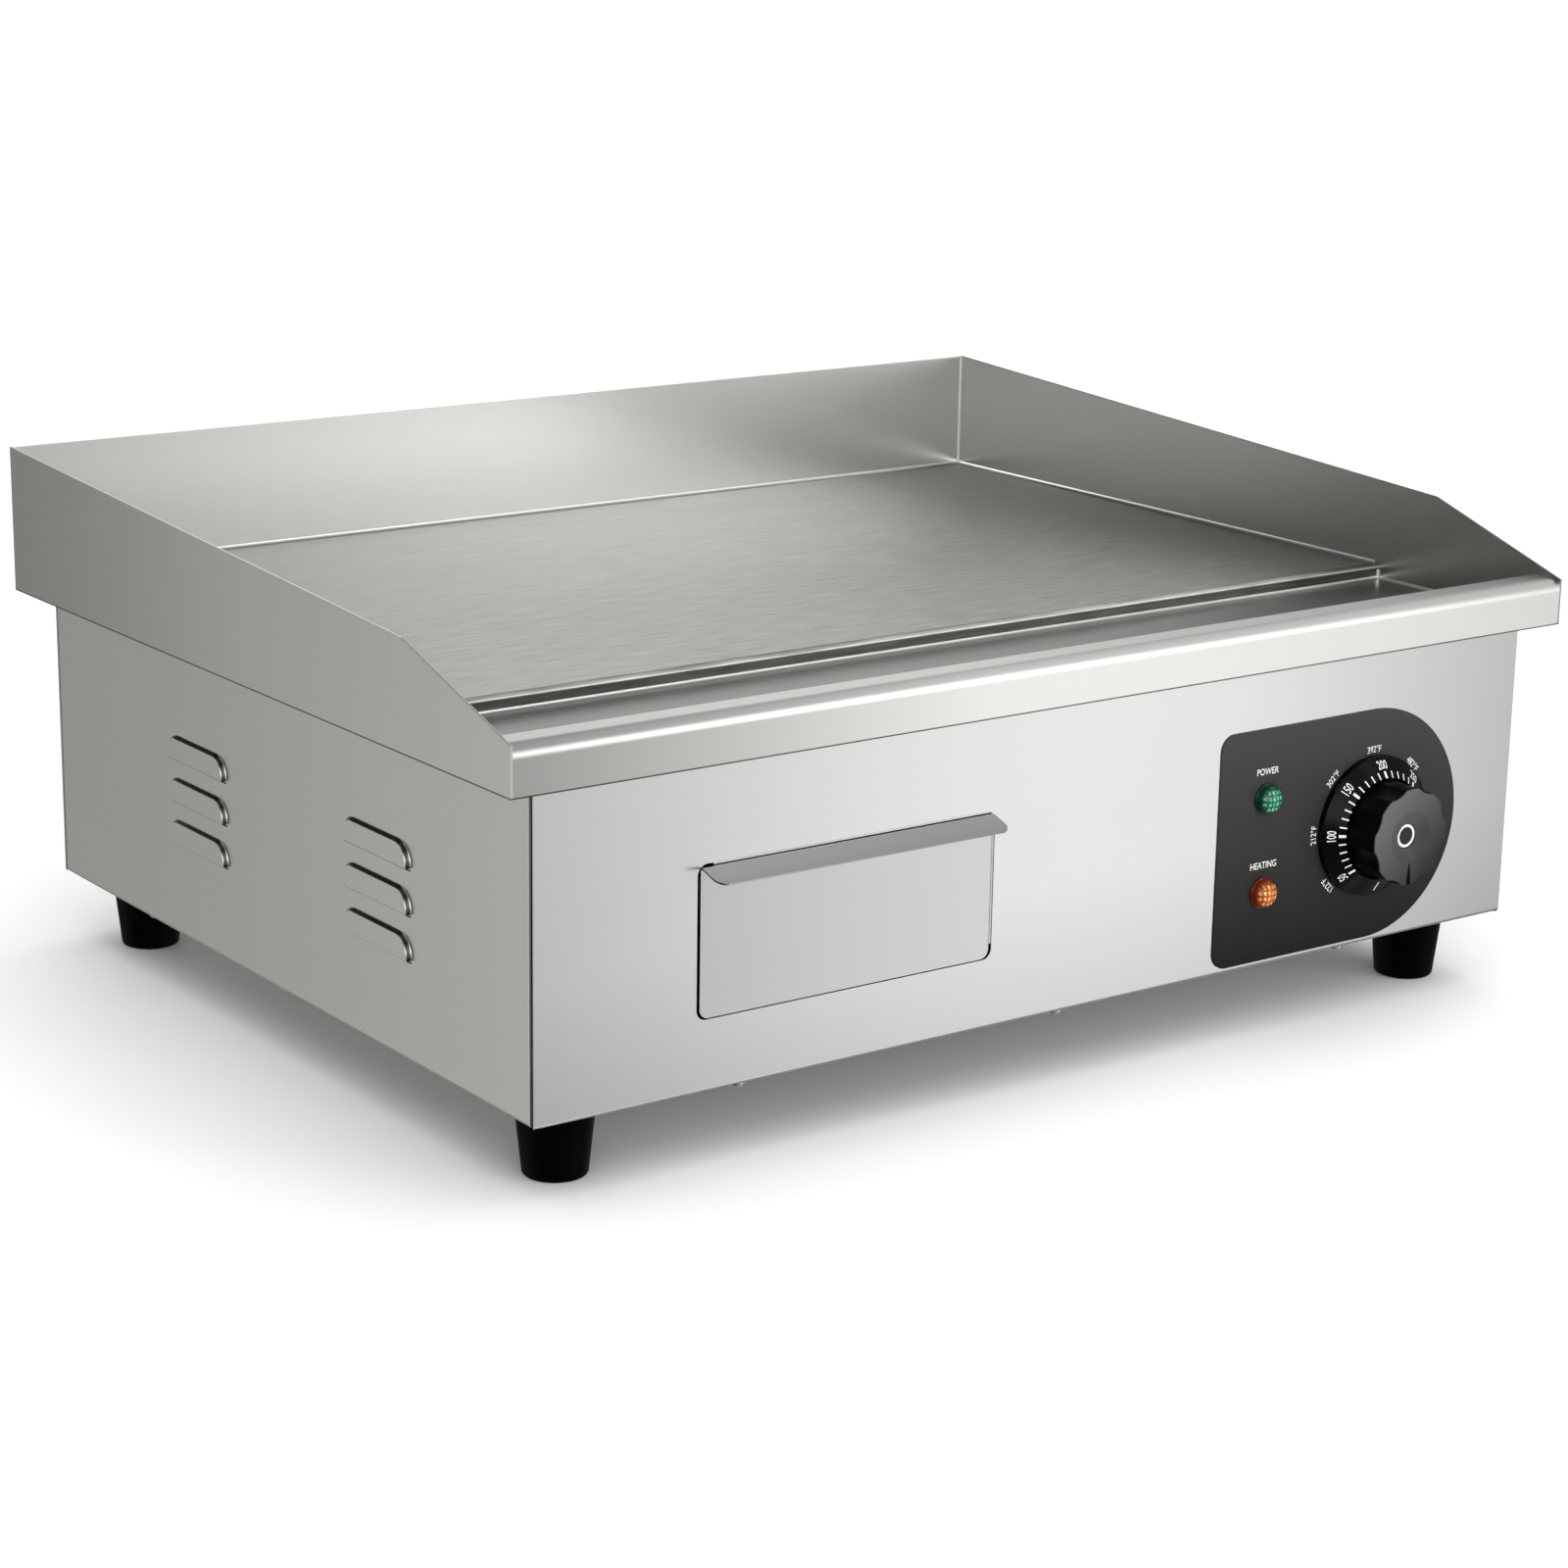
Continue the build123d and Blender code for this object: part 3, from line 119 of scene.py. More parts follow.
class Net:
    """The nodes of one material."""

    def __init__(self, name: str) -> None:
        """Starts an empty material with its output node.

        Args:
            name: the finish's name.
        """
        self.material = bpy.data.materials.new(name)
        self.material.use_nodes = True
        self.tree = self.material.node_tree
        self.tree.nodes.clear()
        self.output = self.add("ShaderNodeOutputMaterial")

    @classmethod
    def of_world(cls, world: bpy.types.World) -> "Net":
        """Returns an empty net of the room's light instead of a material's."""
        net = cls.__new__(cls)
        net.tree = world.node_tree
        net.tree.nodes.clear()
        net.output = net.add("ShaderNodeOutputWorld")
        return net

    def add(self, kind: str, settings: dict | None = None, inputs: dict | None = None) -> bpy.types.Node:
        """Adds a node.

        Args:
            kind: the node's type.
            settings: its own properties, and "stops" for a ramp's (place, colour) pairs.
            inputs: a value, a Term or a socket for each named input.

        Returns:
            The new node.
        """
        node = self.tree.nodes.new(kind)
        for key, value in (settings or {}).items():
            if key == "stops":
                ramp = node.color_ramp.elements
                while len(ramp) < len(value):
                    ramp.new(1.0)
                for stop, (place, colour) in zip(ramp, value):
                    stop.position, stop.color = place, (*colour, 1.0)
            else:
                setattr(node, key, value)
        for key, value in (inputs or {}).items():
            if isinstance(value, Term):
                value = value.socket
            if isinstance(value, bpy.types.NodeSocket):
                self.tree.links.new(value, node.inputs[key])
            else:
                node.inputs[key].default_value = value
        return node

    def maths(self, operation: str, first: "Term | float", second: "Term | float" = 0.0) -> Term:
        """Returns one Math node's result."""
        node = self.add("ShaderNodeMath", {"operation": operation}, {0: first, 1: second})
        return Term(self, node.outputs[0])

    def spread(self, value: Term, low: float, high: float, to_low: float = 0.0, to_high: float = 1.0) -> Term:
        """Returns the value mapped from one range to another, clamped."""
        names = ("From Min", "From Max", "To Min", "To Max")
        inputs = dict(zip(names, (low, high, to_low, to_high)))
        node = self.add("ShaderNodeMapRange", {"clamp": True}, {"Value": value, **inputs})
        return Term(self, node.outputs[0])

    def place(self, centre: Triple = (0, 0, 0), scale: Triple = (1, 1, 1)) -> bpy.types.NodeSocket:
        """Returns Object coordinates moved so that centre is zero, then scaled."""
        coordinates = self.add("ShaderNodeTexCoord").outputs["Object"]
        moved = self.add(
            "ShaderNodeVectorMath", {"operation": "SUBTRACT"}, {0: coordinates, 1: Vector(centre)}
        )
        return self.add("ShaderNodeMapping", {}, {"Vector": moved.outputs[0], "Scale": Vector(scale)}).outputs[0]

    def apart(self, vector: bpy.types.NodeSocket) -> tuple[Term, Term, Term]:
        """Returns a vector's three numbers."""
        node = self.add("ShaderNodeSeparateXYZ", {}, {0: vector})
        return tuple(Term(self, socket) for socket in node.outputs)

    def noise(self, vector: bpy.types.NodeSocket, scale: float = 1.0, detail: float = 2.0) -> Term:
        """Returns a noise pattern's value, about 0.5 on average."""
        inputs = {"Vector": vector, "Scale": scale, "Detail": detail, "Roughness": 0.55}
        return Term(self, self.add("ShaderNodeTexNoise", {}, inputs).outputs[0])

    def mix(self, factor: "Term | float", first: object, second: object) -> bpy.types.NodeSocket:
        """Returns a colour between two, each an RGB triple or a socket."""
        ends = [(*c, 1.0) if isinstance(c, tuple) else c for c in (first, second)]
        inputs = {0: factor, 6: ends[0], 7: ends[1]}
        return self.add("ShaderNodeMix", {"data_type": "RGBA"}, inputs).outputs[2]

    def shade(self, colour: Colour, light: Term) -> bpy.types.NodeSocket:
        """Returns a colour made darker or lighter by a number."""
        node = self.add("ShaderNodeVectorMath", {"operation": "SCALE"}, {0: Vector(colour), "Scale": light})
        return node.outputs[0]

    def bump(self, height: Term, distance: float, strength: float = 1.0) -> bpy.types.NodeSocket:
        """Returns the normal of a surface raised by a height in a distance, in metres."""
        node = self.add("ShaderNodeBump", {}, {"Height": height, "Distance": distance, "Strength": strength})
        return node.outputs[0]

    def finish(self, **inputs: object) -> bpy.types.Material:
        """Returns the material, with a Principled shader of these inputs.

        Args:
            inputs: the shader's inputs by name, with _ for a space.
        """
        named = {key.replace("_", " "): value for key, value in inputs.items()}
        shader = self.add("ShaderNodeBsdfPrincipled", {}, named)
        self.tree.links.new(shader.outputs[0], self.output.inputs[0])
        return self.material


# ---------------------------------------------------------------- finishes
@dataclass(frozen=True)
class Shade:
    """Painted shade and highlight: a tone that changes evenly between two places along an axis, and stays the same
    beyond them.
    """

    axis: Axis
    low: float
    high: float
    at_low: float
    at_high: float


@dataclass(frozen=True)
class BrushedSteel:
    """Stainless sheet: long fine brush lines over a soft cloud of tone.

    The shades aren't wear. They stand in for reflections that this plain room doesn't have, and for dark creases.
    """

    name: str
    tint: Colour
    roughness: float
    grain: Axis
    line_length: float
    line_width: float = 0.0005
    contrast: float = 0.02
    cloud: float = 0.03
    relief: float = 0.0
    shades: tuple[Shade, ...] = ()

    def streaks(self, net: Net, length: float, width: float, detail: float) -> Term:
        """Returns a pattern of streaks of this length and width, in metres, that run along the grain."""
        scale = tuple(1 / length if axis == self.grain.value else 1 / width for axis in range(3))
        return net.noise(net.place(scale=scale), 1.0, detail)

    def make(self) -> bpy.types.Material:
        """Returns the material: tone = (1 + lines + cloud) * each shade, and the gloss follows lines and cloud."""
        net = Net(self.name)
        fine = self.streaks(net, self.line_length, self.line_width, 3.0)
        broad = self.streaks(net, self.line_length * 3, self.line_width * 5, 2.0)
        wide = self.streaks(net, 0.40, 0.16, 1.0) - 0.5
        lines = (fine * 0.85 + broad * 0.15) - 0.5
        tone = 1.0 + lines * (2 * self.contrast) + wide * (2 * self.cloud)
        places = net.apart(net.place())
        places += (net.maths("ABSOLUTE", places[0]),)
        for shade in self.shades:
            place = places[shade.axis.value]
            tone = tone * net.spread(place, shade.low, shade.high, shade.at_low, shade.at_high)
        rough = self.roughness + lines * 0.05 + wide * 0.04
        relief = {"Normal": net.bump(lines, self.relief)} if self.relief else {}
        return net.finish(Base_Color=net.shade(self.tint, tone), Metallic=1.0, Roughness=rough, **relief)


@dataclass(frozen=True)
class PlainMetal:
    """Small metal parts: drawn, plated or turned, with a mottled gloss."""

    name: str
    tint: Colour
    roughness: float
    mottle: float = 0.08
    size: float = 0.004

    def make(self) -> bpy.types.Material:
        """Returns the material: one soft pattern for tone and gloss, and one eight times finer for relief."""
        net = Net(self.name)
        soft = net.noise(net.place(), 1 / self.size, 2.0) - 0.5
        grit = net.noise(net.place(), 8 / self.size, 2.0)
        return net.finish(
            Base_Color=net.shade(self.tint, 1.0 + soft * (2 * self.mottle)),
            Metallic=1.0,
            Roughness=self.roughness + soft * 0.2,
            Normal=net.bump(grit, 0.000015),
        )


@dataclass(frozen=True)
class Moulded:
    """Moulded plastic, rubber or ceramic: a fine spark-eroded grain and a little sheen."""

    name: str
    tint: Colour
    roughness: float
    grain: float = 0.0004
    relief: float = 0.000012
    coat: float = 0.0
    shine: float = 0.3
    tone: float = 0.08

    def make(self) -> bpy.types.Material:
        """Returns the material: a fine grain for relief, a slow one for tone and gloss."""
        net = Net(self.name)
        grit = net.noise(net.place(), 1 / self.grain, 2.0)
        slow = net.noise(net.place(), 35.0, 2.0) - 0.5
        return net.finish(
            Base_Color=net.shade(self.tint, 1.0 + slow * (2 * self.tone) + (grit - 0.5) * self.tone),
            Roughness=self.roughness + slow * 0.12,
            Specular_IOR_Level=self.shine,
            Coat_Weight=self.coat,
            Coat_Roughness=0.12,
            Normal=net.bump(grit, self.relief),
        )


@dataclass(frozen=True)
class KnobBlack:
    """A black moulded knob whose face has a painted grey sheen, brighter towards its upper left.

    The crown is the middle of its face, and the dish is sunk into the face by its depth.
    """

    name: str
    side: Colour
    face: Colour
    crown: Triple
    spread: float = 0.026
    dish_radius: float = 0.0125
    dish_depth: float = 0.0034

    def make(self) -> bpy.types.Material:
        """Returns the material: the painted sheen shows on the face and in its dish, and fades across them."""
        net = Net(self.name)
        x, y, z = net.apart(net.place(self.crown))
        grit = net.noise(net.place(), 2200.0, 2.0)
        # painted sheen: a grey base colour on the face and the dish, brighter towards the upper left
        fade = net.spread(z - x, -self.spread, self.spread, 0.18, 1.0)
        inside = net.spread((x * x + z * z) ** 0.5, self.dish_radius + 0.0003, self.dish_radius - 0.0003)
        dish = net.spread(y, self.dish_depth, self.dish_depth - 0.0004) * inside
        front = net.maths("MAXIMUM", net.spread(y, 0.0006, 0.0001), dish)
        sheen = net.shade(self.face, fade * (0.9 + grit * 0.2))
        return net.finish(
            Base_Color=net.mix(front, self.side, sheen),
            Roughness=0.34 + (grit - 0.5) * 0.1,
            Specular_IOR_Level=0.16,
            Normal=net.bump(grit, 0.000008),
        )


@dataclass(frozen=True)
class PrintedFilm:
    """The control panel's film: charcoal, with painted light that makes it lighter towards its top."""

    name: str
    low: Colour
    high: Colour
    bottom: float
    top: float
    dust: Colour = (0.07, 0.07, 0.074)

    def make(self) -> bpy.types.Material:
        """Returns the material: painted light raises the tone with height, under a fine matt grain with a little
        dust.
        """
        net = Net(self.name)
        _, _, height = net.apart(net.place())
        grit = net.noise(net.place(), 2500.0, 2.0)
        # painted light: the film is lighter towards its top
        painted_light_rise = net.spread(height, self.bottom, self.top)
        base = net.mix(painted_light_rise, self.low, self.high)
        dust_and_painted_light = net.mix(net.spread(grit, 0.3, 0.7, 0.0, 0.10), base, self.dust)
        return net.finish(
            Base_Color=dust_and_painted_light,
            Roughness=0.42 + (grit - 0.5) * 0.1,
            Specular_IOR_Level=0.12,
            Normal=net.bump(grit, 0.000008),
        )


@dataclass(frozen=True)
class Ink:
    """Screen-printed ink, thin in places; the same flat paint also makes black strips of painted shadow."""

    name: str
    tint: Colour

    def make(self) -> bpy.types.Material:
        """Returns the material: the ink's tone thins with a fine pattern."""
        net = Net(self.name)
        thin = net.noise(net.place(), 1800.0, 2.0) - 0.5
        tone = net.shade(self.tint, 1.0 + thin * 0.25)
        return net.finish(Base_Color=tone, Roughness=0.5 + thin * 0.2, Specular_IOR_Level=0.03)


@dataclass(frozen=True)
class LampLens:
    """A coloured lamp lens: a clear glossy dome over a grid of cells in its core, whose bright middles are painted
    glints.
    """

    name: str
    deep: Colour
    bright: Colour
    glint: Colour
    centre: Triple
    radius: float
    pitch: float = 0.0020

    def make(self) -> bpy.types.Material:
        """Returns the material: square cells whose middles are painted glints, fading out towards the rim, in the
        base colour and in a faint emission.
        """
        net = Net(self.name)
        x, y, z = net.apart(net.place(self.centre))
        cell_x = net.maths("PINGPONG", x / self.pitch, 0.5)
        cell_z = net.maths("PINGPONG", z / (self.pitch * 1.25), 0.5)
        cell = net.spread(net.maths("MINIMUM", cell_x, cell_z), 0.08, 0.34)
        reach = ((x * x + z * z) ** 0.5) / self.radius
        core = net.spread(reach, 0.86, 0.60)
        shimmer = net.noise(net.place(scale=(1, 1, 0.6)), 900.0, 1.0)
        # painted glints: the cells' bright middles, in the base colour and in a faint emission
        painted_glints = cell * core * net.spread(shimmer, 0.35, 0.6, 0.25, 1.0)
        body = net.mix(net.spread(reach, 1.0, 0.35), self.deep, self.bright)
        return net.finish(
            Base_Color=net.mix(painted_glints * 0.8, body, self.glint),
            Emission_Color=net.mix(painted_glints, tuple(0.25 * c for c in self.bright), self.glint),
            Emission_Strength=0.22,
            Roughness=0.16 + cell * 0.1,
            Specular_IOR_Level=0.25,
            Coat_Weight=0.5,
            Coat_Roughness=0.03,
            Normal=net.bump(cell * core, 0.0002, 0.35),
        )


@dataclass(frozen=True)
class Wool:
    """Ceramic wool blanket."""

    name: str
    tint: Colour

    def make(self) -> bpy.types.Material:
        """Returns the material: matted fibres."""
        net = Net(self.name)
        fibres = net.noise(net.place(scale=(1, 1, 3)), 700.0, 5.0)
        tone = 0.85 + fibres * 0.3
        return net.finish(
            Base_Color=net.shade(self.tint, tone), Roughness=0.95, Normal=net.bump(fibres, 0.0006)
        )


@dataclass(frozen=True)
class StudioFloor:
    """Pale painted studio floor."""

    name: str
    tint: Colour

    def make(self) -> bpy.types.Material:
        """Returns the material: a faint slow cloud."""
        net = Net(self.name)
        slow = net.noise(net.place(), 0.8, 2.0) - 0.5
        return net.finish(Base_Color=net.shade(self.tint, 1.0 + slow * 0.02), Roughness=0.75)


# ---------------------------------------------------------------- surfaces
def grid_faces(rows: int, columns: int, loop: bool = False) -> np.ndarray:
    """Returns the quads of a grid of points, row after row.

    Args:
        rows: how many rows of points.
        columns: how many points in a row.
        loop: whether each row's last point joins its first.
    """
    row, column = np.meshgrid(np.arange(rows - 1), np.arange(columns if loop else columns - 1), indexing="ij")
    after = (column + 1) % columns
    near, far = row * columns, (row + 1) * columns
    return np.stack([near + column, near + after, far + after, far + column], axis=-1).reshape(-1, 4)


def add_piece(
    name: str,
    points: np.ndarray,
    faces: list,
    body: Body,
    material: bpy.types.Material,
    crease: float = 40.0,
) -> bpy.types.Object:
    """Makes a piece from points and faces.

    Args:
        name: the piece's name.
        points: its vertices in the shared frame, in metres.
        faces: the vertex numbers of each face.
        body: the body that it rides on.
        material: its finish.
        crease: edges sharper than this, in degrees, stay sharp.

    Returns:
        The new object.
    """
    mesh = bpy.data.meshes.new(name)
    mesh.from_pydata(np.asarray(points).reshape(-1, 3).tolist(), [], faces)
    mesh.validate()
    mesh.polygons.foreach_set("use_smooth", np.ones(len(mesh.polygons), bool))
    mesh.set_sharp_from_angle(angle=radians(crease))
    mesh.materials.append(material)
    piece = bpy.data.objects.new(name, mesh)
    bpy.context.scene.collection.objects.link(piece)
    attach(piece, body.value)
    log.info("piece %s: %d faces", name, len(mesh.polygons))
    return piece


def carried(profile: np.ndarray, path: np.ndarray, across: np.ndarray, up: np.ndarray) -> tuple[np.ndarray, list]:
    """Carries a closed profile along a path: point = path + s * across + t * up, for each (s, t) of the profile.

    Its faces point outwards: where across x up points back along the path, the profile is taken in reverse.

    Args:
        profile: (n, 2) points, anticlockwise with s to the right and t upwards.
        path: (m, 3) points.
        across: the direction of s at each path point, longer at a mitred corner.
        up: the direction of t at each path point.

    Returns:
        Points and faces, with both ends closed.
    """
    if np.dot(np.cross(across[0], up[0]), path[1] - path[0]) < 0:
        profile = profile[::-1]
    points = path[:, None] + profile[None, :, :1] * across[:, None] + profile[None, :, 1:] * up[:, None]
    count = len(profile)
    faces = grid_faces(len(path), count, loop=True).tolist()
    last = (len(path) - 1) * count
    faces += [list(range(count))[::-1], [last + k for k in range(count)]]
    return points.reshape(-1, 3), faces


def lathed(profile: np.ndarray, centre: Triple, around: int = 72) -> tuple[np.ndarray, list]:
    """Turns a profile about a front-to-rear axis: (r, h) goes to (r cos a, -h, r sin a) round the centre.

    Args:
        profile: (n, 2) pairs of radius and height towards the front. A radius of 0 closes to a pole.
        centre: the point on the axis where the height is 0.
        around: how many steps make the full turn.

    Returns:
        Points and faces.
    """
    angle = np.arange(around) * 2 * pi / around
    radius, height = profile[:, :1], profile[:, 1:]
    depth = np.broadcast_to(-height, (len(profile), around))
    points = np.stack([radius * np.cos(angle), depth, radius * np.sin(angle)], axis=-1)
    return points.reshape(-1, 3) + np.array(centre), grid_faces(len(profile), around, loop=True).tolist()


def boxed(xs: Pair, ys: Pair, zs: Pair) -> tuple[np.ndarray, list]:
    """Returns a box between two x, two y and two z."""
    (x0, x1), (y0, y1), (z0, z1) = sorted(xs), sorted(ys), sorted(zs)
    loop = np.array([(x0, y0), (x1, y0), (x1, y1), (x0, y1)])
    points = np.concatenate([np.column_stack([loop, np.full(4, z)]) for z in (z0, z1)])
    sides = [[k, (k + 1) % 4, 4 + (k + 1) % 4, 4 + k] for k in range(4)]
    return points, [[3, 2, 1, 0], [4, 5, 6, 7]] + sides


def joined(parts: list[tuple[np.ndarray, list]]) -> tuple[np.ndarray, list]:
    """Returns several sets of points and faces as one."""
    starts = np.cumsum([0] + [len(points) for points, _ in parts[:-1]])
    faces = [[start + k for k in face] for start, (_, part) in zip(starts, parts) for face in part]
    return np.concatenate([points for points, _ in parts]), faces


# ---------------------------------------------------------------- studio
@dataclass
class Studio:
    """Camera, floor and soft light.

    The walls are pairs of an angle and a tone. The angle goes from the front by way of the right, in degrees. The
    low walls are below the level of the object, and the high walls above it.
    """

    azimuth: float = 35.016
    elevation: float = 15.346
    roll: float = 0.639
    eye: Triple = (-0.9368, -1.2896, 0.5142)
    lens: float = 82.73
    shift: Pair = (0.0432, 0.0078)
    floor_half: float = 30.0
    floor_tint: Colour = (0.92, 0.92, 0.92)
    low_walls: tuple[Pair, ...] = (
        (-180, 0.30), (-166, 0.17), (-157, 0.22), (-148, 0.60), (-138, 0.90), (-115, 0.60), (-92, 0.10),
        (-75, 0.02), (-35, 0.02), (-15, 0.30), (24, 0.30), (31, 0.46), (36, 0.98), (41, 1.75), (45, 1.25),
        (49, 0.58), (56, 0.28), (118, 0.40), (180, 0.30),
    )
    high_walls: tuple[Pair, ...] = (
        (-180, 0.50), (-165, 0.50), (-150, 0.60), (-141, 0.40), (-137.5, 0.26), (-132, 0.10), (-110, 0.10),
        (-80, 0.25), (-55, 2.70), (-15, 2.70), (15, 0.60), (24, 0.60), (28, 1.7), (32, 5.4), (36, 4.2), (40, 1.8),
        (46, 0.45), (80, 0.25), (125, 0.20), (134, 0.45), (141, 0.72), (150, 1.20), (158, 1.15), (172, 0.60),
        (180, 0.50),
    )
    ceiling_left: Colour = (0.04, 0.04, 0.04)
    ceiling_rear: Colour = (0.55, 0.55, 0.545)
    ceiling_top: Colour = (0.80, 0.80, 0.795)
    ceiling_front: Colour = (0.72, 0.72, 0.715)
    sun_way: Triple = (0.0, -0.12, 1.0)
    sun_width: float = 90.0
    sun_strength: float = 2.4

    def place_camera(self) -> None:
        """Puts the camera at the eye, turned by azimuth and elevation and then rolled about its own axis."""
        azimuth, elevation, roll = radians(self.azimuth), radians(self.elevation), radians(self.roll)
        back = Vector((-sin(azimuth) * cos(elevation), -cos(azimuth) * cos(elevation), sin(elevation)))
        turn = back.to_track_quat("Z", "Y").to_matrix().to_4x4()
        data = bpy.data.cameras.new("camera")
        data.lens, (data.shift_x, data.shift_y) = self.lens, self.shift
        data.clip_start, data.clip_end = 0.05, 200.0
        camera = bpy.data.objects.new("camera", data)
        camera.matrix_world = Matrix.Translation(self.eye) @ turn @ Matrix.Rotation(roll, 4, "Z")
        bpy.context.scene.collection.objects.link(camera)
        bpy.context.scene.camera = camera

    def lay_floor(self) -> None:
        """Lays the floor just under the feet."""
        half = self.floor_half
        mesh = bpy.data.meshes.new("floor")
        edges = [(-half, -half, 0), (half, -half, 0), (half, half, 0), (-half, half, 0)]
        mesh.from_pydata(edges, [], [(0, 1, 2, 3)])
        mesh.materials.append(StudioFloor("floor_paint", self.floor_tint).make())
        floor = bpy.data.objects.new("floor", mesh)
        bpy.context.scene.collection.objects.link(floor)
        floor.visible_glossy = False

    def add_sun(self) -> None:
        """Adds one wide soft light from above that is the same all over the floor, and is no highlight on metal."""
        data = bpy.data.lights.new("overhead", "SUN")
        data.energy, data.angle = self.sun_strength, radians(self.sun_width)
        light = bpy.data.objects.new("overhead", data)
        light.rotation_mode = "QUATERNION"
        light.rotation_quaternion = Vector(self.sun_way).to_track_quat("Z", "Y")
        light.visible_glossy = False
        bpy.context.scene.collection.objects.link(light)

    def ring_of(self, net: Net, turn: Term, walls: tuple[Pair, ...]) -> bpy.types.NodeSocket:
        """Returns the walls' tone round the object, a little warmer than grey."""
        stops = [((angle + 180) / 360, (tone, tone, tone * 0.985)) for angle, tone in walls]
        return net.add("ShaderNodeValToRGB", {"stops": stops}, {0: turn}).outputs[0]

    def light_room(self) -> None:
        """Makes the room's light: two rings of wall panels, and a ceiling that is dark towards the left."""
        world = bpy.data.worlds.new("room")
        world.use_nodes = True
        net = Net.of_world(world)
        way = net.add("ShaderNodeTexCoord").outputs["Generated"]
        x, y, z = net.apart(way)
        turn = net.maths("ARCTAN2", x, 0.0 - y) / (2 * pi) + 0.5
        low, high = [self.ring_of(net, turn, walls) for walls in (self.low_walls, self.high_walls)]
        walls = net.mix(net.spread(z, -0.08, 0.04), low, high)
        right = net.mix(net.spread(y, 0.25, -0.55), self.ceiling_rear, self.ceiling_front)
        ceiling = net.mix(net.spread(x, -0.20, 0.25), self.ceiling_left, right)
        ceiling = net.mix(net.spread(z, 0.80, 0.96), ceiling, self.ceiling_top)
        colour = net.mix(net.spread(z, 0.32, 0.72), walls, ceiling)
        background = net.add("ShaderNodeBackground", {}, {"Color": colour, "Strength": 1.0})
        net.tree.links.new(background.outputs[0], net.output.inputs[0])
        bpy.context.scene.world = world

    def build(self) -> None:
        """Builds the studio, with colours shown as they are."""
        view = bpy.context.scene.view_settings
        view.view_transform, view.look = "Standard", "None"
        self.place_camera()
        self.lay_floor()
        self.light_room()
        self.add_sun()


# ---------------------------------------------------------------- assemblies
@dataclass
class Assembly:
    """A group of frame nodes that share their dressing."""

    nodes: dict[str, bpy.types.Object]

    def dress(self, material: bpy.types.Material, *names: str) -> None:
        """Gives nodes one finish."""
        for name in names:
            mesh = self.nodes[name].data
            mesh.materials.clear()
            mesh.materials.append(material)
            log.info("node %s: %s", name, material.name)


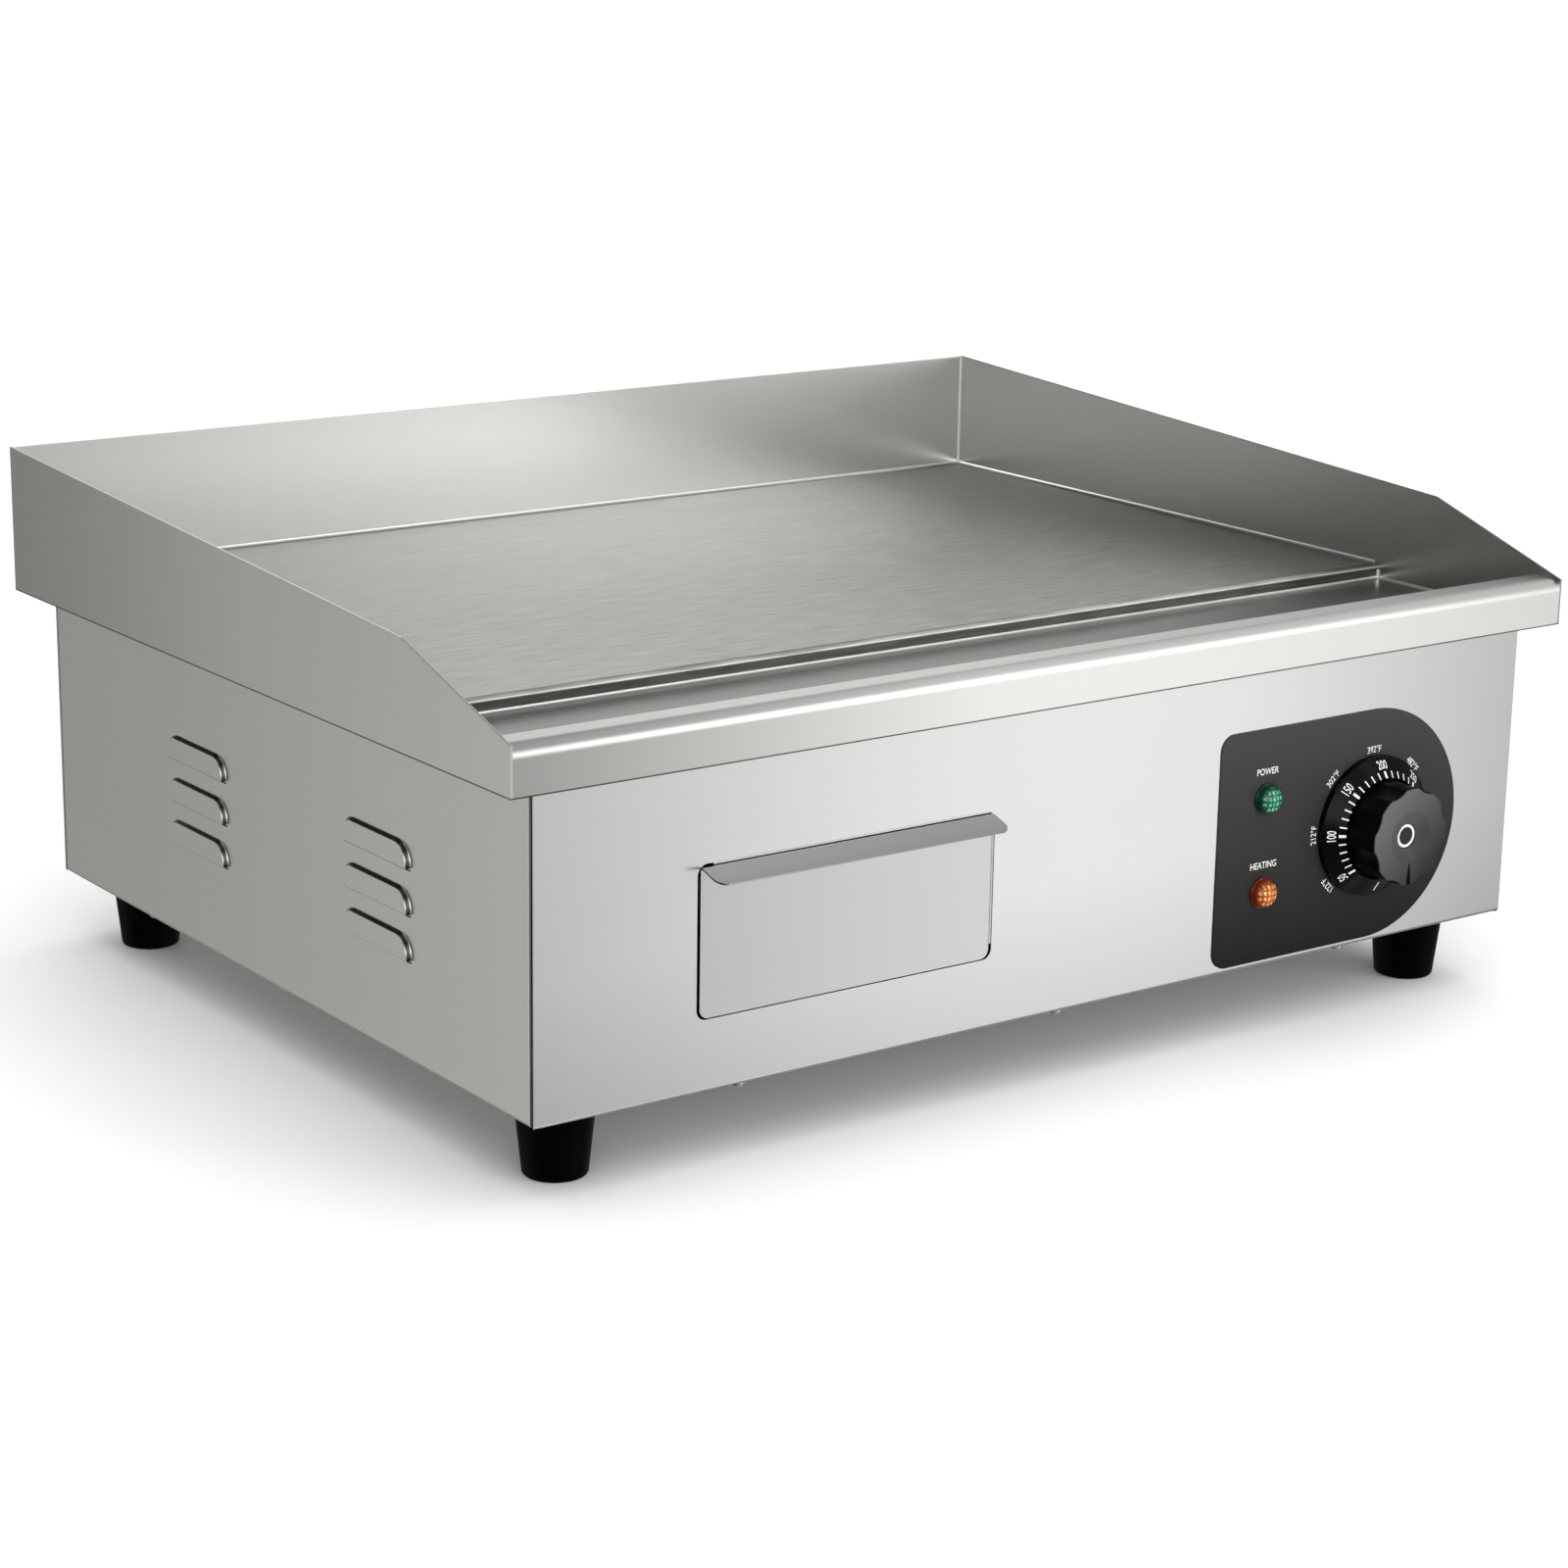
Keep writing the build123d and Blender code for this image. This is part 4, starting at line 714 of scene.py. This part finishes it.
@dataclass
class Pan(Assembly):
    """The cooking plate, its splash guards and the grease trough, with their polished weld beads.

    A thin painted shadow line runs along the lower edge of the guards and the lip. The gutter is the trough's floor
    behind its lip, painted darker as painted shade.
    """

    bead: float = 0.0013
    bead_steps: int = 8
    sink: float = 0.00005
    plate_edge_radius: float = 0.0028
    trough_sheet: float = 0.001
    lip_width: float = 0.017
    guard_top_gap: float = 0.0006
    # the height and the blend of a painted shadow line along the lower edge of the guards and the lip
    hem: float = 0.00035
    hem_blend: float = 0.0004
    gutter_y: float = -0.1975
    gutter_blend: float = 0.003

    def bead_profile(self) -> np.ndarray:
        """Returns a concave quarter round: an arc centred a radius from both walls, closed in their corner."""
        angle = np.linspace(pi, 1.5 * pi, self.bead_steps + 1)
        arc = np.stack([self.bead * (1 + np.cos(angle)), self.bead * (1 + np.sin(angle))], axis=-1)
        return np.concatenate([[(-self.sink, -self.sink)], arc[::-1]])

    def weld(self, path: list[Triple], across: list[Triple], up: Triple) -> tuple[np.ndarray, list]:
        """Returns one bead along a path, against the wall and the floor that it joins."""
        route, sideways = np.array(path, float), np.array(across, float)
        return carried(self.bead_profile(), route, sideways, np.tile(np.array(up, float), (len(path), 1)))

    def build_beads(self, material: bpy.types.Material) -> None:
        """Builds the beads round the plate, round the trough and up the rear and front corners."""
        plate_low, plate_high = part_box("griddle_plate")
        trough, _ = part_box("front_trough")
        _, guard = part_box("splash_guard_rear")
        left, right = plate_low.x, plate_high.x
        front, back, top = plate_low.y, plate_high.y, plate_high.z
        floor, lip = trough.z + self.trough_sheet, trough.y + self.lip_width
        near, crest = front + self.plate_edge_radius, guard.z - self.guard_top_gap
        inwards = [(1, 0, 0), (1, -1, 0), (-1, -1, 0), (-1, 0, 0)]
        beads = []
        for start, end, z in ((near, back, top), (lip, front, floor)):
            route = [(left, start, z), (left, end, z), (right, end, z), (right, start, z)]
            beads.append(self.weld(route, inwards, (0, 0, 1)))
        for x, way in ((left, 1), (right, -1)):
            for y, low, high in ((back, top, crest), (front, floor, top - 2 * self.bead)):
                beads.append(self.weld([(x, y, low), (x, y, high)], [(way, 0, 0)] * 2, (0, -1, 0)))
        points, faces = joined(beads)
        add_piece("weld_beads", points, faces, Body.GRIDDLE, material)

    def build(self) -> None:
        """Dresses the plate and the pan, and adds the beads."""
        plate_low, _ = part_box("griddle_plate")
        edge, start = plate_low.y, plate_low.z + self.hem
        # painted shadow: a thin dark line along the lower edge of the guards and the lip
        hem = Shade(Axis.Z, start, start + self.hem_blend, 0.12, 1.0)
        # painted reflection and shade: the plate is painted darker towards its rear and towards both ends, its
        # front face is painted dark, and a painted highlight runs along its front top edge
        plate = BrushedSteel(
            "plate_brushed", (0.50, 0.49, 0.475), 0.38, Axis.X, 0.022, 0.0015, contrast=0.80, cloud=0.02,
            shades=(
                Shade(Axis.Y, -0.10, 0.12, 1.0, 0.36),
                Shade(Axis.X, -0.25, 0.10, 0.68, 1.0),
                Shade(Axis.X, 0.16, 0.26, 1.0, 0.68),
                Shade(Axis.Y, edge + 0.00005, edge + 0.00015, 0.26, 1.0),
                Shade(Axis.Y, edge + 0.0010, edge + 0.0016, 1.4, 1.0),
            ),
        )
        # painted reflection: the side guards are painted darker towards the right and towards the rear
        guard = BrushedSteel(
            "guard_satin", (0.70, 0.685, 0.66), 0.26, Axis.Y, 0.08,
            shades=(hem, Shade(Axis.X, 0.0, 0.2, 1.0, 0.60), Shade(Axis.Y, 0.0, 0.2, 1.0, 0.78)),
        )
        rear = BrushedSteel("rear_satin", (0.94, 0.93, 0.915), 0.25, Axis.X, 0.08, contrast=0.015)
        # painted shade: the trough's floor behind the lip is painted darker, and the lip and trough are painted
        # darker towards the left end as painted reflection
        gutter = Shade(Axis.Y, self.gutter_y - self.gutter_blend, self.gutter_y, 1.0, 0.44)
        lip = BrushedSteel(
            "lip_satin", (0.85, 0.845, 0.83), 0.29, Axis.X, 0.10,
            shades=(hem, gutter, Shade(Axis.X, -0.27, -0.05, 0.55, 1.0)),
        )
        self.dress(plate.make(), "griddle_plate")
        self.dress(guard.make(), "splash_guard_left", "splash_guard_right")
        self.dress(rear.make(), "splash_guard_rear")
        self.dress(lip.make(), "front_trough", "drain_spout")
        self.build_beads(PlainMetal("bead_polished", (0.70, 0.695, 0.68), 0.33, 0.05, 0.006).make())


@dataclass
class Case(Assembly):
    """The sheet case under the pan, with louvres whose hoods stand out from its sides."""

    hood_rise: float = 0.002
    hood_spans: tuple[Pair, ...] = ((-0.1145, -0.0612), (0.0408, 0.0941))
    slit_heights: tuple[float, ...] = (0.0747, 0.0937, 0.1127)
    slit_drop: Pair = (0.0013, 0.0007)
    slit_depth: Pair = (-0.0001, 0.0004)
    seam: Pair = (0.0002, 0.0024)
    seam_sink: float = 0.0003
    seam_back: float = 0.00005

    def build(self) -> None:
        """Dresses the panels. The hoods' slopes are painted dark, as painted reflection, from just off the side to
        just under their crest.
        """
        face = -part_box("side_panel_left")[0].x - self.hood_rise
        side = BrushedSteel(
            "side_satin", (0.70, 0.685, 0.66), 0.30, Axis.Y, 0.06, contrast=0.04,
            shades=(
                # painted reflection: dark on the hoods' slopes; the second band lifts the tone back to full at the
                # crest
                Shade(Axis.OUT, face + 0.00010, face + 0.00045, 1.0, 0.10),
                Shade(Axis.OUT, face + 0.00165, face + 0.0019, 1.0, 10.0),
            ),
        )
        # painted reflection: the front, rear and base panels are painted darker towards the right and towards the
        # bottom
        front = BrushedSteel(
            "front_satin", (0.72, 0.72, 0.715), 0.24, Axis.X, 0.09, cloud=0.04,
            shades=(Shade(Axis.X, 0.10, 0.27, 1.0, 0.84), Shade(Axis.Z, 0.03, 0.09, 0.82, 1.0)),
        )
        self.dress(side.make(), "side_panel_left", "side_panel_right")
        self.dress(front.make(), "front_panel", "rear_panel", "base_plate")
        self.build_shadows()

    def build_shadows(self) -> None:
        """Builds painted shadow: black strips in the corner seams, where the gap is only in shade, and a dark strip
        under each louvre's hood for its slit's shade.
        """
        front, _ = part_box("front_panel")
        side, side_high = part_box("side_panel_left")
        face = side.x + self.hood_rise
        seam_ys = (front.y + self.seam_sink, side.y - self.seam_back)
        strips = []
        for way in (1, -1):
            seam_xs = tuple(way * (face + x) for x in self.seam)
            strips.append(boxed(seam_xs, seam_ys, (side.z + self.seam[0], side_high.z)))
            slit_xs = tuple(way * (face + x) for x in self.slit_depth)
            for span in self.hood_spans:
                for z in self.slit_heights:
                    strips.append(boxed(slit_xs, span, tuple(z - drop for drop in self.slit_drop)))
        points, faces = joined(strips)
        # painted shadow: flat black strips stand where the seams and the slits are only in shade
        add_piece("seam_shadows", points, faces, Body.GRIDDLE, Ink("painted_shadow_black", (0.004,) * 3).make())


@dataclass
class Drawer(Assembly):
    """The grease drawer and its guides, and the opening's thin return on its right and above it."""

    gap: float = 0.0011
    clear: float = 0.00035
    corner: float = 0.006
    return_depth: Pair = (0.0001, 0.0007)

    def build(self) -> None:
        """Dresses the drawer and adds the return."""
        face = BrushedSteel("drawer_satin", (0.595, 0.595, 0.59), 0.24, Axis.X, 0.09, cloud=0.04).make()
        tray = BrushedSteel(
            "tray_satin", (0.62, 0.615, 0.60), 0.34, Axis.Y, 0.06, contrast=0.06, cloud=0.05, relief=0.000004
        )
        self.dress(face, "drawer_front")
        self.dress(tray.make(), "drawer_tray", "drawer_guide_left", "drawer_guide_right")
        self.build_return(face)

    def build_return(self, material: bpy.types.Material) -> None:
        """Builds the return: an upright strip and a level one that meet at the opening's upper right corner."""
        low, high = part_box("drawer_front")
        front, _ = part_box("front_panel")
        ys = tuple(front.y + depth for depth in self.return_depth)
        near_x, far_x = high.x + self.clear, high.x + self.gap
        near_z, far_z = high.z + self.clear, high.z + self.gap
        right = boxed((near_x, far_x), ys, (low.z + self.corner, far_z))
        top = boxed((low.x + self.corner, near_x), ys, (near_z, far_z))
        points, faces = joined([right, top])
        add_piece("drawer_opening_return", points, faces, Body.GRIDDLE, material)


@dataclass
class Print:
    """White print: text and marks as flat shapes, then bent round the dial or laid flat."""

    lift: float = 0.00008
    boldness: float = 0.006

    def letters(self, text: str, height: float, squeeze: float) -> tuple[np.ndarray, list]:
        """Returns a word's outline as (u, v) points about its middle, and its faces.

        Args:
            text: the word.
            height: the height of a capital, in metres.
            squeeze: how narrow the letters are, as a share of their own width.
        """
        curve = bpy.data.curves.new("letters", "FONT")
        curve.body, curve.size, curve.align_x, curve.align_y = text, 1.0, "CENTER", "CENTER"
        curve.resolution_u, curve.offset = 3, self.boldness
        writer = bpy.data.objects.new("letters", curve)
        bpy.context.scene.collection.objects.link(writer)
        bpy.context.view_layer.update()
        mesh = bpy.data.meshes.new_from_object(writer.evaluated_get(bpy.context.evaluated_depsgraph_get()))
        flat = np.zeros(len(mesh.vertices) * 3)
        mesh.vertices.foreach_get("co", flat)
        flat = flat.reshape(-1, 3)[:, :2]
        faces = [list(polygon.vertices) for polygon in mesh.polygons]
        bpy.data.objects.remove(writer)
        bpy.data.curves.remove(curve)
        bpy.data.meshes.remove(mesh)
        flat = flat - (flat.max(0) + flat.min(0)) / 2
        return flat * np.array([squeeze, 1.0]) * (height / np.ptp(flat[:, 1])), faces

    def bar(self, width: float, low: float, high: float) -> tuple[np.ndarray, list]:
        """Returns an upright bar, (u, v) from low to high."""
        half = width / 2
        return np.array([(-half, low), (half, low), (half, high), (-half, high)]), [[0, 1, 2, 3]]


@dataclass
class Controls(Assembly):
    """The film, dial, knob and lamps on the front panel.

    The dial's ring is a cone: its crest and rim are each a radius and a height over the film. Its marks run
    clockwise from the first, and each mark with figures is wider than the others.
    """

    dial_x: float = 0.173
    dial_z: float = 0.0865
    ring_crest: Pair = (0.0225, 0.0090)
    ring_rim: Pair = (0.0314, 0.0030)
    first_mark: float = 225.0
    degrees_per_mark: float = 9.0
    marks: int = 26
    marks_per_figure: int = 5
    coolest: int = 50
    celsius_per_mark: int = 10
    mark_widths: Pair = (0.00062, 0.00115)
    mark_length: float = 0.0027
    mark_radius: float = 0.0229
    figure_radius: float = 0.0282
    legend_radius: float = 0.0342
    off_angle: float = 270.0
    off_bar: Triple = (0.00055, 0.0016, 0.0062)
    lamp_x: float = 0.110
    lamp_zs: Pair = (0.1075, 0.0655)
    words: tuple[tuple[str, float], ...] = (("POWER", 0.1197), ("HEATING", 0.0779))
    pointer_reach: Pair = (0.0120, 0.0203)
    pointer_widths: Pair = (0.0007, 0.0026)
    pointer_lift: float = 0.00001
    badge_ring: Pair = (0.0046, 0.00062)
    badge_lift: float = 0.00008
    pen: Print = field(default_factory=Print)

    def around(self, flat: np.ndarray, radius: float, angle: float, film: bool) -> np.ndarray:
        """Bends (u, v) marks round the dial, on its cone or on the film: r = radius + v, a = angle - u / radius.

        Args:
            flat: (n, 2) marks whose top points outwards.
            radius: where v is 0.
            angle: where u is 0, in degrees anticlockwise from the right.
            film: whether the marks lie on the film and not on the cone.
        """
        reach = radius + flat[:, 1]
        turn = radians(angle) - flat[:, 0] / radius
        film_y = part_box("control_overlay")[0].y
        share = (reach - self.ring_crest[0]) / (self.ring_rim[0] - self.ring_crest[0])
        height = 0.0 if film else self.ring_crest[1] + (self.ring_rim[1] - self.ring_crest[1]) * share
        y = np.broadcast_to(film_y - height - self.pen.lift, reach.shape)
        return np.stack([self.dial_x + reach * np.cos(turn), y, self.dial_z + reach * np.sin(turn)], -1)

    def build_scale(self, ink: bpy.types.Material) -> None:
        """Prints the ring's marks and figures, the legends round it and the words over the lamps."""
        prints = []
        for mark in range(self.marks):
            heavy = mark % self.marks_per_figure == 0
            angle = self.first_mark - mark * self.degrees_per_mark
            flat, faces = self.pen.bar(self.mark_widths[heavy], 0.0, self.mark_length)
            prints.append((self.around(flat, self.mark_radius, angle, False), faces))
            if heavy:
                celsius = self.coolest + mark * self.celsius_per_mark
                flat, faces = self.pen.letters(str(celsius), 0.0034, 0.80)
                prints.append((self.around(flat, self.figure_radius, angle, False), faces))
                flat, faces = self.pen.letters(f"{round(celsius * 1.8 + 32)}°F", 0.0032, 0.85)
                prints.append((self.around(flat, self.legend_radius, angle, True), faces))
        flat, faces = self.pen.bar(*self.off_bar)
        prints.append((self.around(flat, self.mark_radius, self.off_angle, False), faces))
        film_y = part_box("control_overlay")[0].y - self.pen.lift
        for word, z in self.words:
            flat, faces = self.pen.letters(word, 0.0030, 0.86)
            place = np.stack([self.lamp_x + flat[:, 0], np.full(len(flat), film_y), z + flat[:, 1]], -1)
            prints.append((place, faces))
        points, faces = joined(prints)
        add_piece("scale_print", points, faces, Body.GRIDDLE, ink)

    def build_lens(self, name: str, z: float, material: bpy.types.Material, slot: str) -> None:
        """Builds one lamp lens: a rounded rim, a shallow groove, then a dome that closes to a pole.

        Args:
            name: the frame's lens that it replaces.
            z: the height of its middle.
            material: its finish.
            slot: not used.
        """
        low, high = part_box(name)
        radius, tall = (high.x - low.x) / 2, high.y - low.y
        rim = np.array([(1.0, 0.0), (1.0, 0.14), (0.985, 0.17), (0.955, 0.19), (0.925, 0.185), (0.905, 0.17)])
        lean = np.linspace(0.0, 1.0, 14)[1:]
        dome = np.stack([0.905 * np.cos(lean * pi / 2) ** 0.8, 0.17 + 0.83 * np.sin(lean * pi / 2) ** 0.9], -1)
        profile = np.concatenate([rim, dome]) * np.array([radius, tall])
        profile[-1, 0] = 0.00001
        points, faces = lathed(profile, (self.lamp_x, high.y, z), around=64)
        piece = add_piece(name.replace("_lens", "_dome"), points, faces, Body.GRIDDLE, material, 60.0)
        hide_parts(name)

    def build_badge(self, ink: bpy.types.Material) -> None:
        """Builds the plain white ring on the knob's badge: a flat ring with a rounded top."""
        low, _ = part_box("knob_badge")
        angle = np.linspace(0, pi, 7)
        radius, half = self.badge_ring
        profile = np.stack([radius + half * np.cos(angle), self.badge_lift * np.sin(angle)], -1)
        points, faces = lathed(profile, (self.dial_x, low.y, self.dial_z), around=64)
        add_piece("badge_ring", points, faces, Body.DIAL, ink)

    def build_pointer(self) -> None:
        """Builds the pointer's black wedge on the knob's face, which widens towards the rim."""
        (near, far), (narrow, wide) = self.pointer_reach, self.pointer_widths
        wedge = np.array([(-wide / 2, far), (wide / 2, far), (narrow / 2, near), (-narrow / 2, near)])
        face = np.full(len(wedge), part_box("knob")[0].y - self.pointer_lift)
        points = np.stack([self.dial_x + wedge[:, 0], face, self.dial_z - wedge[:, 1]], -1)
        ink = Ink("pointer_black", (0.003, 0.003, 0.003)).make()
        add_piece("pointer_wedge", points, [[0, 1, 2, 3]], Body.DIAL, ink)

    def build(self) -> None:
        """Dresses the controls and adds the print, the badge's ring, the pointer and the lenses."""
        low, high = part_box("control_overlay")
        film = PrintedFilm("film_charcoal", (0.004, 0.004, 0.0037), (0.046, 0.045, 0.044), low.z, high.z)
        self.dress(film.make(), "control_overlay")
        ring = Moulded("ring_gloss_black", (0.001, 0.001, 0.001), 0.24, 0.0006, 0.000003, 0.0, 0.12)
        knob_low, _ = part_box("knob")
        crown = (self.dial_x, knob_low.y, self.dial_z)
        # the face colour is a painted grey sheen on the black knob
        grip = KnobBlack("knob_satin_black", (0.0010, 0.0010, 0.0010), (0.105, 0.104, 0.102), crown)
        self.dress(ring.make(), "dial_bezel")
        self.dress(grip.make(), "knob")
        self.dress(Moulded("badge_black", (0.01, 0.01, 0.01), 0.3).make(), "knob_badge")
        ink = Ink("print_white", (0.80, 0.80, 0.80)).make()
        self.build_scale(ink)
        self.build_badge(ink)
        self.build_pointer()
        # the bright and glint colours are painted glints of the lens cells
        colours = (
            ("power_lamp_lens", "green_lens", (0.0, 0.008, 0.004), (0.0, 0.085, 0.045), (0.22, 0.70, 0.46)),
            ("heating_lamp_lens", "amber_lens", (0.05, 0.004, 0.0), (0.30, 0.042, 0.002), (1.0, 0.55, 0.16)),
        )
        for (name, slot, deep, bright, glint), z in zip(colours, self.lamp_zs):
            _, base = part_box(name)
            lens = LampLens(slot, deep, bright, glint, (self.lamp_x, base.y, z), 0.007)
            self.build_lens(name, z, lens.make(), slot)
        self.dress(Moulded("lamp_housing", (0.03, 0.03, 0.03), 0.4).make(), "power_lamp_body", "heating_lamp_body")
        self.dress(Moulded("thermostat_case", (0.10, 0.095, 0.085), 0.5).make(), "thermostat_body")


@dataclass
class Feet(Assembly):
    """The four moulded feet."""

    def build(self) -> None:
        """Dresses the feet."""
        rubber = Moulded("foot_rubber_black", (0.0006, 0.0006, 0.0006), 0.45, 0.0008, 0.00002, 0.0, 0.03)
        self.dress(rubber.make(), "foot_front_left", "foot_front_right", "foot_rear_left", "foot_rear_right")


@dataclass
class Works(Assembly):
    """Heating, wiring and fixings inside the case, and the supply side at the rear."""

    def build(self) -> None:
        """Dresses everything that is left."""
        zinc = PlainMetal("zinc_plated", (0.62, 0.63, 0.64), 0.30).make()
        self.dress(
            zinc, "plate_studs", "pan_nuts", "front_panel_screws", "base_screws", "rear_panel_screws",
            "foot_washers", "foot_screws", "foot_nuts", "element_clamp_bars", "clamp_nuts", "shield_nuts",
            "bulb_clips", "thermostat_screws", "lamp_clips", "terminal_block_screws", "earth_terminal",
            "thermostat_shaft",
        )
        self.dress(PlainMetal("aluminised_shield", (0.55, 0.55, 0.54), 0.42, 0.12, 0.01).make(), "heat_shield")
        element = PlainMetal("element_sheath", (0.16, 0.15, 0.14), 0.5, 0.2, 0.006).make()
        self.dress(element, "heating_element_left", "heating_element_right")
        self.dress(PlainMetal("turned_brass", (0.72, 0.53, 0.25), 0.28).make(), "element_bushes")
        self.dress(PlainMetal("drawn_copper", (0.78, 0.42, 0.28), 0.30).make(), "capillary_tube", "sensor_bulb")
        self.dress(Wool("ceramic_wool_white", (0.80, 0.79, 0.76)).make(), "insulation_blanket")
        nylon = Moulded("gland_nylon", (0.025, 0.025, 0.026), 0.42, 0.0005, 0.00001)
        self.dress(nylon.make(), "cable_gland", "gland_locknut", "gland_cap")
        self.dress(Moulded("limiter_case", (0.04, 0.04, 0.04), 0.5).make(), "limit_thermostat")
        self.dress(Moulded("terminal_ceramic_white", (0.78, 0.76, 0.72), 0.35, 0.0006).make(), "terminal_block")
        self.dress(Moulded("wire_sleeve_grey", (0.30, 0.29, 0.28), 0.55, 0.0004).make(), "wiring")


def main() -> None:
    """Loads the frame, builds the studio and each assembly."""
    logging.basicConfig(level=logging.INFO, format="%(name)s %(message)s", stream=sys.stdout)
    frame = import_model()
    Studio().build()
    nodes = frame["nodes"]
    for assembly in (Pan(nodes), Case(nodes), Drawer(nodes), Controls(nodes), Feet(nodes), Works(nodes)):
        log.info("building %s", type(assembly).__name__)
        assembly.build()


if __name__ == "__main__":
    main()
